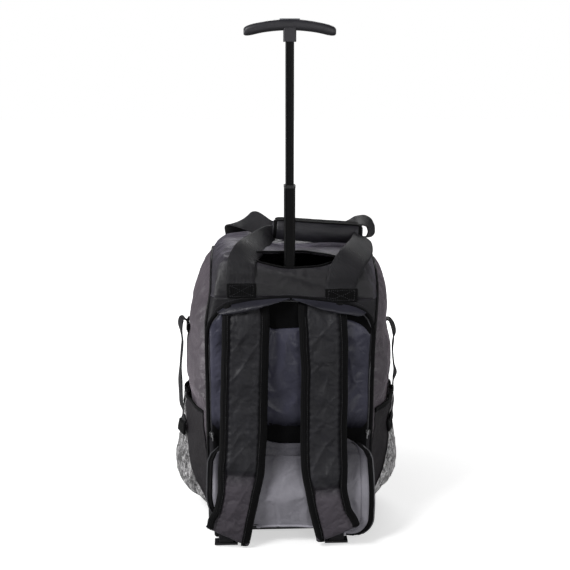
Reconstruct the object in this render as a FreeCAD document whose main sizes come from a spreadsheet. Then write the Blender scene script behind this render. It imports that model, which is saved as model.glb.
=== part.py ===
import FreeCAD, Part
import Sketcher
import math
import os

# Rolling ball bag with stowable shoulder straps, a single-post pull handle and two wheels.
# It stands on the floor: +Z up, -Y the back (strap side), +Y the front (door side), +X right.
# The origin is on the floor under the middle of the bag body. Millimetres.

V = FreeCAD.Vector
X_AXIS, Y_AXIS, Z_AXIS = V(1, 0, 0), V(0, 1, 0), V(0, 0, 1)
SIDES = (("left", -1), ("right", 1))

# Limits for cutting boxes that must reach past the bag.
REACH, BELOW, ABOVE = 400, -100, 700

dim = dict(
    # body shell
    body_half_depth=140, fabric=3.5, seam_half=150, band_height=470, base_height=62,
    # wheel carriage
    carriage_half=150, carriage_back=-172, carriage_front=-88, carriage_low=26,
    carriage_high=92, carriage_chamfer=14, carriage_corner=8, carriage_wall=4,
    carriage_floor=5, well_in=111.5, well_out=144.5, well_radius=44,
    # wheels
    wheel_x=128, wheel_y=-138, wheel_z=38, wheel_radius=38, tyre_inner=30, tyre_width=24,
    hub_bore=4.06, axle_radius=4, axle_length=43, boss_radius=9, boss_half=14.5,
    # telescopic post of the pull handle
    post_x=0, post_y=-112, tube_corner=4, bore_corner=2.6,
    outer_w=23.6, outer_d=28.4, outer_wall=1.6, outer_low=34, outer_high=481,
    mid_w=19.4, mid_d=24.2, mid_wall=1.4, mid_low=352, mid_high=646,
    inner_w=14.4, inner_d=18.8, inner_wall=1.3, inner_low=600, inner_high=906,
    collar_height=6, collar_corner=4.4, socket_height=50, guide_height=12,
    # grip, button and lock rod
    grip_neck_w=21.5, grip_neck_d=21, grip_neck_low=893, grip_top=930, grip_half=78,
    button_w=34, button_d=11, button_height=5.2, button_corner=4, button_sink=4.4,
    button_well=9, rod_radius=2, rod_low=640,
    # slot in the top panel
    slot_half=83, slot_back=-127, slot_front=-97,
    # strap compartment
    pad_half=134, pad_low=200, pad_high=438, pad_thick=6, pad_corner=40,
    tape_half=146.6, tape_w=7, tape_low=212, tape_high=452, tape_corner=52,
    # liner, floor board, ball cup and shelf
    liner_y=-94, liner_thick=2.5, liner_half=132, liner_low=96, liner_high=462,
    board_low=33, board_thick=4, board_w=226, board_back=-84, board_front=102,
    cup_w=216, cup_d=184, cup_h=26, cup_block_y=9, cup_y=18, cup_hole=62,
    shelf_z=300, shelf_thick=5, shelf_w=300, shelf_d=200,
    # door and its pocket
    door_half=118, door_low=92, door_high=430, door_gap=1.2, door_corner=36,
    pocket_half=104, pocket_low=104, pocket_high=300, pocket_depth=54, pocket_skin=3,
    pocket_rim=9, pocket_corner=24,
    # straps, stow flap and webbing
    strap_width=80, strap_thick=9, strap_top=441, flap_thick=3,
    webbing_wide=48, webbing_thick=2.4, webbing_narrow=25,
    # wrap of the carry handle
    wrap_x=52, wrap_y=-15, wrap_z=558.5, wrap_length=160, wrap_radius=15, wrap_wall=5,
    # feet
    foot_radius=11, foot_height=27, foot_x=118, foot_y=84,
)

doc = FreeCAD.newDocument("rolling_ball_bag")
sheet = doc.addObject("Spreadsheet::Sheet", "Dims")
for row, (alias, value) in enumerate(dim.items(), 1):
    sheet.set("A%d" % row, alias)
    sheet.set("B%d" % row, repr(float(value)))
    sheet.setAlias("B%d" % row, alias)

nodes = []


# ---------- document objects ----------
def node(kind, label):
    """An object that is written out as one part."""
    obj = doc.addObject(kind, label)
    obj.Label = label
    nodes.append(obj)
    return obj


def shape_node(label, shape):
    node("Part::Feature", label).Shape = shape


def bind(obj, x, y, z, **sizes):
    """Drive an object's sizes and its position by expressions."""
    for prop, expression in sizes.items():
        obj.setExpression(prop, expression)
    for axis, expression in zip("xyz", (x, y, z)):
        obj.setExpression("Placement.Base." + axis, expression)


# ---------- bodies with sketches ----------
def sketch(body, name, role, offset=V(0, 0, 0)):
    """An empty sketch on one of the body's origin planes; offset is in the sketch's frame."""
    sk = body.newObject("Sketcher::SketchObject", name)
    plane = [f for f in body.Origin.OriginFeatures if f.Role == role][0]
    sk.AttachmentSupport = [(plane, "")]
    sk.MapMode = "FlatFace"
    sk.AttachmentOffset = FreeCAD.Placement(offset, FreeCAD.Rotation())
    return sk


def polygon(sk, points):
    """A closed polyline."""
    count = len(points)
    for i in range(count):
        start, end = points[i], points[(i + 1) % count]
        sk.addGeometry(Part.LineSegment(V(*start, 0), V(*end, 0)), False)
    for i in range(count):
        sk.addConstraint(Sketcher.Constraint("Coincident", i, 2, (i + 1) % count, 1))
    return sk


def rectangle(sk, width, height, cx="0", cy="0"):
    """A rectangle centred at (cx, cy), all four given as expressions."""
    polygon(sk, [(-10, -10), (10, -10), (10, 10), (-10, 10)])
    for side in (0, 2):
        sk.addConstraint(Sketcher.Constraint("Horizontal", side))
    for side in (1, 3):
        sk.addConstraint(Sketcher.Constraint("Vertical", side))
    for constraint, expression in (
        (Sketcher.Constraint("DistanceX", 0, 1, 0, 2, 20.0), width),
        (Sketcher.Constraint("DistanceY", 1, 1, 1, 2, 20.0), height),
        (Sketcher.Constraint("DistanceX", -1, 1, 0, 1, -10.0), "(%s)-(%s)/2" % (cx, width)),
        (Sketcher.Constraint("DistanceY", -1, 1, 0, 1, -10.0), "(%s)-(%s)/2" % (cy, height)),
    ):
        index = sk.addConstraint(constraint)
        sk.setExpression("Constraints[%d]" % index, expression)
    return sk


def circle(sk, radius):
    """A circle about the sketch's origin."""
    sk.addGeometry(Part.Circle(V(0, 0, 0), Z_AXIS, 5), False)
    sk.addConstraint(Sketcher.Constraint("Coincident", 0, 3, -1, 1))
    index = sk.addConstraint(Sketcher.Constraint("Radius", 0, 5.0))
    sk.setExpression("Constraints[%d]" % index, radius)
    return sk


def pad(body, sk, length, symmetric=False, reverse=False):
    feature = body.newObject("PartDesign::Pad", "Pad")
    feature.Profile = sk
    if symmetric:
        feature.SideType = "Symmetric"
    feature.Reversed = reverse
    feature.setExpression("Length", length)
    doc.recompute()
    return feature


def pocket(body, sk, length=None, symmetric=False, reverse=False):
    """A pocket of the given length, or through everything when there is none."""
    before = body.Shape.Volume
    feature = body.newObject("PartDesign::Pocket", "Pocket")
    feature.Profile = sk
    if symmetric:
        feature.SideType = "Symmetric"
    feature.Reversed = reverse
    if length:
        feature.setExpression("Length", length)
    else:
        feature.Type = "ThroughAll"
    doc.recompute()
    if body.Shape.Volume > before - 1e-3:
        raise RuntimeError("a pocket cut nothing in " + body.Label)


def edges_along(shape, axis, pick=lambda middle: True):
    """Names of the straight edges parallel to axis whose midpoint passes pick."""
    names = []
    for i, edge in enumerate(shape.Edges, 1):
        if edge.Curve.TypeId != "Part::GeomLine":
            continue
        direction = edge.tangentAt(edge.FirstParameter)
        if abs(abs(direction.dot(axis)) - 1) < 1e-6 and pick(edge.CenterOfMass):
            names.append("Edge%d" % i)
    return names


def fillet(body, base, edges, radius):
    feature = body.newObject("PartDesign::Fillet", "Fillet")
    feature.Base = (base, edges)
    feature.setExpression("Radius", radius)
    doc.recompute()


def turned(label, half_profile):
    """A ring turned about X from (x, radius) points, mirrored to -x, centred on the origin."""
    body = node("PartDesign::Body", label)
    profile = half_profile + [(-x, radius) for x, radius in reversed(half_profile)]
    sk = polygon(sketch(body, label + "_profile", "XY_Plane"), profile)
    turn = body.newObject("PartDesign::Revolution", "Turn")
    turn.Profile = sk
    turn.ReferenceAxis = (sk, ["H_Axis"])
    turn.Angle = 360
    doc.recompute()
    return body


# ---------- plain shapes ----------
def box(x0, x1, y0, y1, z0, z1):
    return Part.makeBox(x1 - x0, y1 - y0, z1 - z0, V(x0, y0, z0))


def side_box(sign, near, far, y0, y1, z0, z1):
    """A box between two distances from the middle, on the left (-1) or the right (1)."""
    x0, x1 = sorted((sign * near, sign * far))
    return box(x0, x1, y0, y1, z0, z1)


def round_edges(solid, axis, radius):
    """Fillet all the edges that run along axis."""
    edges = [e for e in solid.Edges if abs(e.tangentAt(e.FirstParameter).dot(axis)) > 0.9]
    return solid.makeFillet(radius, edges)


def rounded_prism(half, low, high, y0, y1, radius):
    """A prism along Y with rounded corners in XZ."""
    return round_edges(box(-half, half, y0, y1, low, high), Y_AXIS, radius)


def door_prism(grow, y0, y1):
    """A prism of the door's outline, grown outward by grow."""
    return rounded_prism(dim["door_half"] + grow, dim["door_low"] - grow,
                         dim["door_high"] + grow, y0, y1, dim["door_corner"] + grow)


def solids_only(shape, least=50.0):
    """The solids of a boolean's result as one shape, without slivers under least cubic mm."""
    found = [s for s in shape.Solids if s.Volume > least]
    if not found:
        raise RuntimeError("no solid left")
    return found[0] if len(found) == 1 else Part.makeCompound(found)


def closed_spline(points):
    curve = Part.BSplineCurve()
    curve.interpolate(Points=points, PeriodicFlag=True)
    return Part.Wire([curve.toShape()])


def strip(points, thick, width=None, axis=X_AXIS):
    """A band of rectangular section through points (x, y, z), with its width along axis.

    Without a width, each point carries its own as a fourth value."""
    path = [V(*point[:3]) for point in points]
    wires = []
    for i, middle in enumerate(path):
        if i == 0:
            tangent = path[1] - path[0]
        elif i == len(path) - 1:
            tangent = path[-1] - path[-2]
        else:
            before, after = middle - path[i - 1], path[i + 1] - middle
            before.normalize()
            after.normalize()
            tangent = before + after
        tangent = tangent - axis * tangent.dot(axis)
        tangent.normalize()
        normal = tangent.cross(axis)
        normal.normalize()
        across = axis * ((points[i][3] if width is None else width) / 2)
        out = normal * (thick / 2)
        corners = [middle + across + out, middle - across + out,
                   middle - across - out, middle + across - out]
        wires.append(Part.makePolygon(corners + [corners[0]]))
    return Part.makeLoft(wires, True, True)


# ---------- the bag's soft outer form: one closed outline, scaled at each height ----------
# Right half of the plan outline, back to front: x over half width, y over half depth.
OUTLINE = [
    (0, -1.0), (0.32, -1.0), (0.62, -0.998), (0.775, -0.982), (0.825, -0.935),
    (0.885, -0.78), (0.945, -0.52), (0.985, -0.25), (1.0, 0.03), (0.99, 0.32),
    (0.945, 0.6), (0.86, 0.82), (0.72, 0.95), (0.5, 0.995), (0.25, 1.0), (0, 1.0),
]
# Height, half width, half depth.
BODY_HEIGHTS = [
    (28, 150, 118), (38, 158, 129), (56, 165, 135.5), (100, 174, 139.5), (160, 182, 140),
    (240, 187, 140), (310, 187, 140), (380, 184, 140), (435, 178, 140), (475, 169, 138),
    (503, 158, 129), (522, 144, 113), (534, 124, 90), (540, 95, 60),
]


def outline_wire(z, half_width, half_depth):
    right = [(x * half_width, y * half_depth) for x, y in OUTLINE]
    left = [(-x, y) for x, y in reversed(right[1:-1])]
    return closed_spline([V(x, y, z) for x, y in right + left])


def form(grow=0.0, raised=0.0, lowered=0.0, heights=BODY_HEIGHTS):
    """A form grown outward by grow, its bottom raised and its top lowered."""
    bottom, top = heights[0][0], heights[-1][0]
    span = top - bottom
    wires = []
    for z, half_width, half_depth in heights:
        level = bottom + raised + (z - bottom) / span * (span - raised - lowered)
        wires.append(outline_wire(level, half_width + grow, half_depth + grow))
    solid = Part.makeLoft(wires, True, False)
    if not solid.isValid() or solid.Volume < 0:
        solid.fix(0.01, 0.01, 0.1)
    return solid


outer_form = form()


# ---------- body panels ----------
def body_panels():
    """The fabric shell, split at the side seams and by height, with the door cut out."""
    fabric, seam = dim["fabric"], dim["seam_half"]
    band, carriage_high = dim["band_height"], dim["carriage_high"]
    carriage_front, base = dim["carriage_front"], dim["base_height"]
    wheel_room = box(-REACH, REACH, -REACH, carriage_front, BELOW, carriage_high)
    shell = outer_form.cut(form(-fabric, fabric, fabric)).cut(wheel_room)
    for side, sign in SIDES:
        gusset = shell.common(side_box(sign, seam, REACH, -REACH, REACH, BELOW, ABOVE))
        shape_node(side + "_gusset", solids_only(gusset))
    middle = shell.common(box(-seam, seam, -REACH, REACH, BELOW, ABOVE))

    slot = box(-dim["slot_half"], dim["slot_half"], dim["slot_back"], dim["slot_front"],
               480, ABOVE)
    top = middle.common(box(-seam, seam, -REACH, REACH, band, ABOVE)).cut(slot)
    shape_node("top_panel", solids_only(top))
    back = middle.common(box(-seam, seam, -REACH, -60, carriage_high, band))
    shape_node("back_panel", solids_only(back))
    front = middle.common(box(-seam, seam, 60, REACH, base, band))
    shape_node("front_panel", solids_only(front.cut(door_prism(dim["door_gap"], 100, 200))))
    shape_node("front_door", solids_only(front.common(door_prism(0, 100, 200))))
    bottom = middle.common(box(-seam, seam, carriage_front, REACH, BELOW, base))
    shape_node("base_panel", solids_only(bottom))


# ---------- strap compartment on the back panel ----------
def back_pad():
    body = node("PartDesign::Body", "back_pad")
    outline = rectangle(sketch(body, "back_pad_outline", "XZ_Plane"),
                        "2*Dims.pad_half", "Dims.pad_high-Dims.pad_low",
                        "0", "(Dims.pad_high+Dims.pad_low)/2")
    block = pad(body, outline, "Dims.pad_thick")
    fillet(body, block, edges_along(block.Shape, Y_AXIS), "Dims.pad_corner")
    bind(body, "0", "-Dims.body_half_depth-1.1", "0")


def bag_stow_tape():
    """An arch of zip tape round the pad, open at the foot."""
    half, width, corner = dim["tape_half"], dim["tape_w"], dim["tape_corner"]
    low, high = dim["tape_low"], dim["tape_high"]
    outer = rounded_prism(half, low - 60, high, -145, -140.6, corner)
    inner = rounded_prism(half - width, low - 80, high - width, -150, -130, corner - width)
    tape = outer.common(box(-300, 300, -142.8, -140.6, low, 600)).cut(inner).cut(outer_form)
    shape_node("stow_zip_tape_bag", solids_only(tape))


# ---------- inside: liner, floor board, shelf, ball cup ----------
def inside_boards():
    bind(node("Part::Box", "liner_board"), "-Dims.liner_half", "Dims.liner_y",
         "Dims.liner_low", Length="2*Dims.liner_half", Width="Dims.liner_thick",
         Height="Dims.liner_high-Dims.liner_low")
    bind(node("Part::Box", "floor_board"), "-Dims.board_w/2", "Dims.board_back",
         "Dims.board_low", Length="Dims.board_w", Width="Dims.board_front-Dims.board_back",
         Height="Dims.board_thick")
    bind(node("Part::Box", "divider_shelf"), "-Dims.shelf_w/2",
         "Dims.liner_y+Dims.liner_thick+0.5", "Dims.shelf_z",
         Length="Dims.shelf_w", Width="Dims.shelf_d", Height="Dims.shelf_thick")


def ball_cup():
    """A foam block on the floor board with a tapered hole."""
    block = doc.addObject("Part::Box", "cup_block")
    bind(block, "-Dims.cup_w/2", "Dims.cup_block_y-Dims.cup_d/2",
         "Dims.board_low+Dims.board_thick+0.2",
         Length="Dims.cup_w", Width="Dims.cup_d", Height="Dims.cup_h")
    hole = doc.addObject("Part::Cone", "cup_hole_cone")
    bind(hole, "0", "Dims.cup_y", "Dims.board_low+Dims.board_thick-1.8",
         Radius1="Dims.cup_hole-14", Radius2="Dims.cup_hole+6", Height="Dims.cup_h+4")
    cup = node("Part::Cut", "foam_ball_cup")
    cup.Base = block
    cup.Tool = hole


# ---------- wheel carriage: one plastic moulding across the lower back ----------
def wheel_carriage():
    body = node("PartDesign::Body", "wheel_carriage")
    plan = rectangle(sketch(body, "carriage_plan", "XY_Plane"), "2*Dims.carriage_half",
                     "Dims.carriage_front-0.4-Dims.carriage_back",
                     "0", "(Dims.carriage_front-0.4+Dims.carriage_back)/2")
    block = pad(body, plan, "Dims.carriage_high-0.4-Dims.carriage_low")
    chamfer = body.newObject("PartDesign::Chamfer", "BackChamfer")
    upper_back = edges_along(block.Shape, X_AXIS, lambda m: m.y < -160 and m.z > 50)
    chamfer.Base = (block, upper_back)
    chamfer.setExpression("Size", "Dims.carriage_chamfer")
    doc.recompute()
    back_corners = edges_along(chamfer.Shape, Z_AXIS, lambda m: m.y < -160)
    fillet(body, chamfer, back_corners, "Dims.carriage_corner")

    # The middle is hollow above its floor and open at the top.
    hollow = rectangle(sketch(body, "hollow_plan", "XY_Plane", V(0, 0, dim["carriage_floor"])),
                       "2*Dims.well_in-2*Dims.carriage_wall-4",
                       "Dims.carriage_front-Dims.carriage_back-3*Dims.carriage_wall-2",
                       "0", "(Dims.carriage_front+Dims.carriage_back)/2")
    pocket(body, hollow, "200", reverse=True)

    # Each wheel well is a round slot, opened downward, with an axle hole through its ears.
    well_width = "Dims.well_out-Dims.well_in"
    mouth_height = 40
    axle_z = dim["wheel_z"] - dim["carriage_low"]
    for side, sign in reversed(SIDES):
        well_x = sign * (dim["well_in"] + dim["well_out"]) / 2
        centre = V(dim["wheel_y"], axle_z, well_x)
        well = circle(sketch(body, side + "_well", "YZ_Plane", centre), "Dims.well_radius")
        pocket(body, well, well_width, symmetric=True)
        mouth_centre = V(dim["wheel_y"], axle_z - mouth_height / 2, well_x)
        mouth = rectangle(sketch(body, side + "_well_mouth", "YZ_Plane", mouth_centre),
                          "2*Dims.well_radius", str(mouth_height))
        pocket(body, mouth, well_width, symmetric=True)
        seat = circle(sketch(body, side + "_axle_seat", "YZ_Plane", centre),
                      "Dims.axle_radius+0.02")
        pocket(body, seat, "Dims.axle_length+1", symmetric=True)
    bind(body, "0", "0", "Dims.carriage_low")


def wheel(side, sign):
    """Axle pin, hub with boss, web and rim, and the tyre on the rim."""
    axle = node("PartDesign::Body", side + "_axle")
    section = circle(sketch(axle, side + "_axle_section", "YZ_Plane"), "Dims.axle_radius")
    pad(axle, section, "Dims.axle_length", symmetric=True)

    boss_half, boss = dim["boss_half"], dim["boss_radius"]
    rim, half_tyre, tread = dim["tyre_inner"], dim["tyre_width"] / 2, dim["wheel_radius"]
    hub = turned(side + "_wheel_hub", [
        (boss_half, dim["hub_bore"]), (boss_half, boss), (4, boss + 1.5),
        (3.5, rim - 7), (half_tyre - 1, rim - 5), (half_tyre - 1, rim)])
    tyre = turned(side + "_tyre", [
        (half_tyre, rim + 0.02), (half_tyre, tread - 4),
        (half_tyre - 1.2, tread - 1.4), (half_tyre - 4, tread)])
    for body in (axle, hub, tyre):
        bind(body, "%d*Dims.wheel_x" % sign, "Dims.wheel_y", "Dims.wheel_z")


def front_feet():
    """Two tapered stubs under the base panel."""
    feet = []
    for side, sign in SIDES:
        foot = doc.addObject("Part::Cone", side + "_foot_stub")
        bind(foot, "%d*Dims.foot_x" % sign, "Dims.foot_y", "0", Radius1="Dims.foot_radius",
             Radius2="Dims.foot_radius+3", Height="Dims.foot_height")
        feet.append(foot)
    node("Part::Compound", "front_feet").Links = feet


# ---------- pull handle ----------
def sleeve(label, size, bore, low, length, corner="Dims.collar_corner"):
    """A rounded block on the post with a rectangular bore; size and bore are (x, y)."""
    body = node("PartDesign::Body", label)
    block = pad(body, rectangle(sketch(body, label + "_outline", "XY_Plane"), *size), length)
    fillet(body, block, edges_along(block.Shape, Z_AXIS), corner)
    pocket(body, rectangle(sketch(body, label + "_bore", "XY_Plane"), *bore), reverse=True)
    bind(body, "Dims.post_x", "Dims.post_y", low)
    return body


def tube(stage):
    """One stage of the post: a sleeve whose bore is rounded too."""
    width, depth, wall, low, high = [
        "Dims.%s_%s" % (stage, key) for key in ("w", "d", "wall", "low", "high")]
    body = sleeve(stage + "_tube", (width, depth),
                  ("%s-2*%s" % (width, wall), "%s-2*%s" % (depth, wall)),
                  low, "%s-%s" % (high, low), corner="Dims.tube_corner")
    bore_x = dim[stage + "_w"] / 2 - dim[stage + "_wall"]
    bore_y = dim[stage + "_d"] / 2 - dim[stage + "_wall"]
    bore_edges = edges_along(
        body.Tip.Shape, Z_AXIS,
        lambda m: abs(abs(m.x) - bore_x) < 0.05 and abs(abs(m.y) - bore_y) < 0.05)
    fillet(body, body.Tip, bore_edges, "Dims.bore_corner")


def post():
    for stage in ("outer", "mid", "inner"):
        tube(stage)
    sleeve("outer_tube_collar", ("Dims.outer_w+5", "Dims.outer_d+5"),
           ("Dims.mid_w+0.5", "Dims.mid_d+0.5"), "Dims.outer_high+0.1", "Dims.collar_height")
    sleeve("mid_tube_collar", ("Dims.mid_w+0.8", "Dims.mid_d+0.8"),
           ("Dims.inner_w+0.4", "Dims.inner_d+0.4"),
           "Dims.mid_high+0.1", "Dims.collar_height-1")
    # Socket on the carriage's floor, round the foot of the outer tube.
    sleeve("tube_socket", ("Dims.outer_w+12", "Dims.outer_d+4"),
           ("Dims.outer_w+0.04", "Dims.outer_d+0.04"),
           "Dims.carriage_low+Dims.carriage_floor+0.2", "Dims.socket_height")
    # Guide just below the foot of the inner tube, running in the mid tube.
    sleeve("inner_tube_guide",
           ("Dims.mid_w-2*Dims.mid_wall-0.8", "Dims.mid_d-2*Dims.mid_wall-0.8"),
           ("8", "12"), "Dims.inner_low-Dims.guide_height-0.1", "Dims.guide_height")


# Grip sections from the end to the middle: x over the half length, drop of the centre
# below the grip's top, half height, half depth.
GRIP_END = [
    (1.0, 20.5, 4.2, 6.2), (0.975, 20.0, 6.6, 9.2), (0.9, 18.6, 8.4, 11.0),
    (0.7, 15.0, 8.9, 11.5), (0.4, 11.2, 9.0, 11.5),
]
GRIP_MIDDLE = (0, 9.2, 9.2, 11.5)


def grip_section(x, z_centre, half_height, half_depth):
    """A closed curve between an ellipse and a rectangle, in the plane at x."""
    count, power = 16, 0.75
    points = []
    for i in range(count):
        angle = 2 * math.pi * i / count
        across, up = math.cos(angle), math.sin(angle)
        points.append(V(
            x,
            dim["post_y"] + half_depth * math.copysign(abs(across) ** power, across),
            z_centre + half_height * math.copysign(abs(up) ** power, up)))
    return closed_spline(points)


def grip():
    """A bowed bar with a neck that takes the inner tube, bored for button and rod."""
    top, neck_low, post_y = dim["grip_top"], dim["grip_neck_low"], dim["post_y"]

    def post_box(half_width, half_depth, z0, z1):
        return box(-half_width, half_width, post_y - half_depth, post_y + half_depth, z0, z1)

    stations = [(-u, *rest) for u, *rest in GRIP_END] + [GRIP_MIDDLE] + GRIP_END[::-1]
    bar = Part.makeLoft([
        grip_section(u * dim["grip_half"], top - drop, half_height, half_depth)
        for u, drop, half_height, half_depth in stations], True, False)
    neck = post_box(dim["grip_neck_w"] / 2, dim["grip_neck_d"] / 2, neck_low, top - 10)
    solid = bar.fuse(round_edges(neck, Z_AXIS, 3.0))
    solid = solid.cut(post_box(dim["button_w"] / 2 + 0.3, dim["button_d"] / 2 + 0.3,
                               top - dim["button_well"], top + 20))
    solid = solid.cut(post_box(dim["inner_w"] / 2 + 0.02, dim["inner_d"] / 2 + 0.02,
                               neck_low - 1, dim["inner_high"] + 0.1))
    rod_hole = Part.makeCylinder(dim["rod_radius"] + 0.6, 80, V(0, post_y, neck_low - 10))
    shape_node("grip", solids_only(solid.cut(rod_hole)))


def grip_button():
    body = node("PartDesign::Body", "grip_button")
    plan = rectangle(sketch(body, "button_plan", "XY_Plane"), "Dims.button_w", "Dims.button_d")
    block = pad(body, plan, "Dims.button_height")
    fillet(body, block, edges_along(block.Shape, Z_AXIS), "Dims.button_corner")
    bind(body, "Dims.post_x", "Dims.post_y", "Dims.grip_top-Dims.button_sink")


def lock_rod():
    """A rod from under the button down into the post."""
    bind(node("Part::Cylinder", "lock_rod"), "Dims.post_x", "Dims.post_y", "Dims.rod_low",
         Radius="Dims.rod_radius", Height="Dims.grip_top-Dims.button_sink-Dims.rod_low")


def button_spring():
    """A coil round the rod, on the floor of the button's well."""
    coil_radius, wire_radius, pitch, height = 3.35, 0.35, 1.05, 3.9
    coil = Part.Wire(Part.makeHelix(pitch, height, coil_radius).Edges)
    section = Part.Wire([Part.Circle(V(coil_radius, 0, 0), Y_AXIS, wire_radius).toShape()])
    spring = coil.makePipeShell([section], True, True)
    well_floor = dim["grip_top"] - dim["button_well"]
    spring.translate(V(dim["post_x"], dim["post_y"], well_floor + wire_radius + 0.02))
    shape_node("button_spring", spring)


# ---------- shoulder straps ----------
# Strap path from top to foot: y, z, x of the left strap, x of the right strap.
STRAP = [
    (-152.8, dim["strap_top"], -78, 54), (-157, 400, -79, 57), (-161, 340, -81, 60),
    (-165, 280, -83, 60), (-171, 210, -85, 59), (-182, 152, -89, 60), (-192, 104, -95, 64),
    (-196.5, 62, -104, 73), (-195, 28, -110, 81), (-190, 10, -114, 84),
]


def shoulder_strap(side, column, buckle_shift):
    """A padded strap, a buckle frame with a cross bar at its foot, and webbing on top."""
    path = [(station[column], station[0], station[1]) for station in STRAP]
    shape_node(side + "_shoulder_strap",
               strip(path, dim["strap_thick"], width=dim["strap_width"]))
    x = path[-1][0] + buckle_shift
    frame = box(x - 21, x + 21, -184.5, -165.0, 2.6, 6.8)
    for y0, y1 in ((-180.5, -177.0), (-172.5, -169.0)):
        frame = frame.cut(box(x - 15, x + 15, y0, y1, 0, 10))
    shape_node(side + "_strap_buckle", frame)
    half = dim["webbing_narrow"] / 2
    shape_node(side + "_strap_webbing", box(x - half, x + half, -185.2, -163.0, 7.0, 8.6))


# ---------- piping along the side seams ----------
def seam_points(x, grow, back_low, front_low, spacing):
    """Points of the grown form in the plane at x, up the back, over the top, down the front.

    The back starts above back_low, the front ends above front_low."""
    section = form(grow, -grow, -grow).slice(X_AXIS, x)
    points = max(section, key=lambda wire: wire.Length).discretize(Deflection=0.2)
    if (points[0] - points[-1]).Length < 1e-3:
        points = points[:-1]
    lowest = min(range(len(points)), key=lambda i: points[i].z)
    points = points[lowest:] + points[:lowest]
    top = max(range(len(points)), key=lambda i: points[i].z)
    back, front = points[:top + 1], points[top:][::-1]
    if sum(p.y for p in back) >= 0:
        back, front = front, back
    back = [p for p in back if p.z > back_low and p.y < 0]
    front = [p for p in front if p.z > front_low and p.y > 0]
    chain = back + front[::-1]
    spaced = [chain[0]]
    for point in chain[1:]:
        if (point - spaced[-1]).Length > spacing:
            spaced.append(point)
    return [(p.x, p.y, p.z) for p in spaced]


def piping(side, sign):
    path = seam_points(sign * dim["seam_half"], grow=3.1, back_low=97, front_low=50, spacing=6)
    shape_node(side + "_piping", strip(path, 4.6, width=4.6))


# ---------- stow flap: hangs over the carriage and covers the wheels ----------
# y, z, width, from the top down.
FLAP = [
    (-149.8, 190, 236), (-151.6, 178, 268), (-156, 158, 284), (-166, 128, 286),
    (-177.5, 100, 286), (-181, 78, 286), (-181.5, 50, 284), (-181, 26, 280),
    (-179.8, 14, 272),
]


def stow_flap():
    """The flap, and a zip tape down each of its sides."""
    shape_node("stow_flap", strip([(0, *station) for station in FLAP], dim["flap_thick"]))
    tapes = []
    for _, sign in SIDES:
        path = [(sign * (width / 2 - 5.0), y - 2.6, z) for y, z, width in FLAP[1:]]
        tapes.append(strip(path, 1.8, width=7))
    shape_node("stow_zip_tape_flap", Part.makeCompound(tapes))


def stow_slider(side, sign):
    """A zip slider with a hanging pull tab, at the foot of the stow zip."""
    x = sign * 142.6
    slider = round_edges(box(x - 4.4, x + 4.4, -147.2, -143.2, 196, 206), Y_AXIS, 1.2)
    tab = box(x - 2.6, x + 2.6, -149.4, -147.2, 180, 204)
    tab = tab.cut(box(x - 3, x + 3, -148.0, -147.0, 180, 199))
    tab = tab.cut(box(x - 1.3, x + 1.3, -150, -147, 183, 191))
    shape_node(side + "_stow_zip_slider", slider.fuse(tab))


# ---------- carry handle: two webbing loops joined by a wrap ----------
ANCHOR_X = (-86, 95)
# y, z of each loop's legs, from the panel up to the wrap.
BACK_LOOP = [
    (-139.0, 502.5), (-134, 511), (-119.5, 524), (-98, 534), (-70, 545), (-45, 553),
    (-28, 557),
]
FRONT_LOOP = [
    (139.6, 502.5), (133, 515), (118, 532), (92, 552), (62, 568), (34, 575), (12, 571),
    (-3, 563),
]
# y, z of the back anchor patches; the front ones mirror them.
ANCHOR_PATCH = [(-142.4, 456), (-142.4, 474), (-141.6, 486), (-139.6, 500)]


def webbing_loop(path, y_bar, z_bar):
    """Two legs of webbing and the flat bar that joins them inside the wrap."""
    width, thick = dim["webbing_wide"], dim["webbing_thick"]
    left, right = [strip([(x, y, z) for y, z in path], thick, width=width) for x in ANCHOR_X]
    bar = box(ANCHOR_X[0] - width / 2, ANCHOR_X[1] + width / 2, y_bar - 9, y_bar + 9,
              z_bar - thick / 2, z_bar + thick / 2)
    return left.fuse([right, bar]).removeSplitter()


def carry_handle():
    x, y, z = dim["wrap_x"], dim["wrap_y"], dim["wrap_z"]
    back = solids_only(webbing_loop(BACK_LOOP, y - 5.2, z - 0.6))
    front = solids_only(webbing_loop(FRONT_LOOP, y + 5.2, z + 2.6).cut(back))
    shape_node("carry_webbing_back", back)
    shape_node("carry_webbing_front", front)

    radius, length = dim["wrap_radius"], dim["wrap_length"]
    start = x - length / 2
    wrap = Part.makeCylinder(radius, length, V(start, y, z), X_AXIS)
    bore = Part.makeCylinder(radius - dim["wrap_wall"], length + 10, V(start - 5, y, z), X_AXIS)
    shape_node("carry_wrap", solids_only(wrap.cut(bore).cut(back).cut(front)))

    for name, sign in (("back", 1), ("front", -1)):
        patches = [strip([(x, sign * y, z) for y, z in ANCHOR_PATCH], 2.2,
                         width=dim["webbing_wide"] + 2) for x in ANCHOR_X]
        shape_node(name + "_anchor_patches", Part.makeCompound(patches))


# ---------- side handles and mesh pockets on the gussets ----------
# Distance from the middle and z of the side handle, from the top down.
SIDE_HANDLE = [
    (194.5, 374), (200, 381), (205.5, 378), (208.5, 364), (210.5, 335), (211.5, 295),
    (211.5, 245), (211.3, 218), (210.2, 202), (208.7, 192), (208.5, 184),
]
# Height, half width, half depth of the mesh pockets' form, and of their bindings'.
POUCH_HEIGHTS = [
    (44, 163, 132), (60, 180, 132), (90, 195, 132), (130, 204, 132), (175, 204, 132),
    (228, 197, 132),
]
BINDING_HEIGHTS = [(226.4, 197.6, 132), (236, 197.0, 132)]


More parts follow.
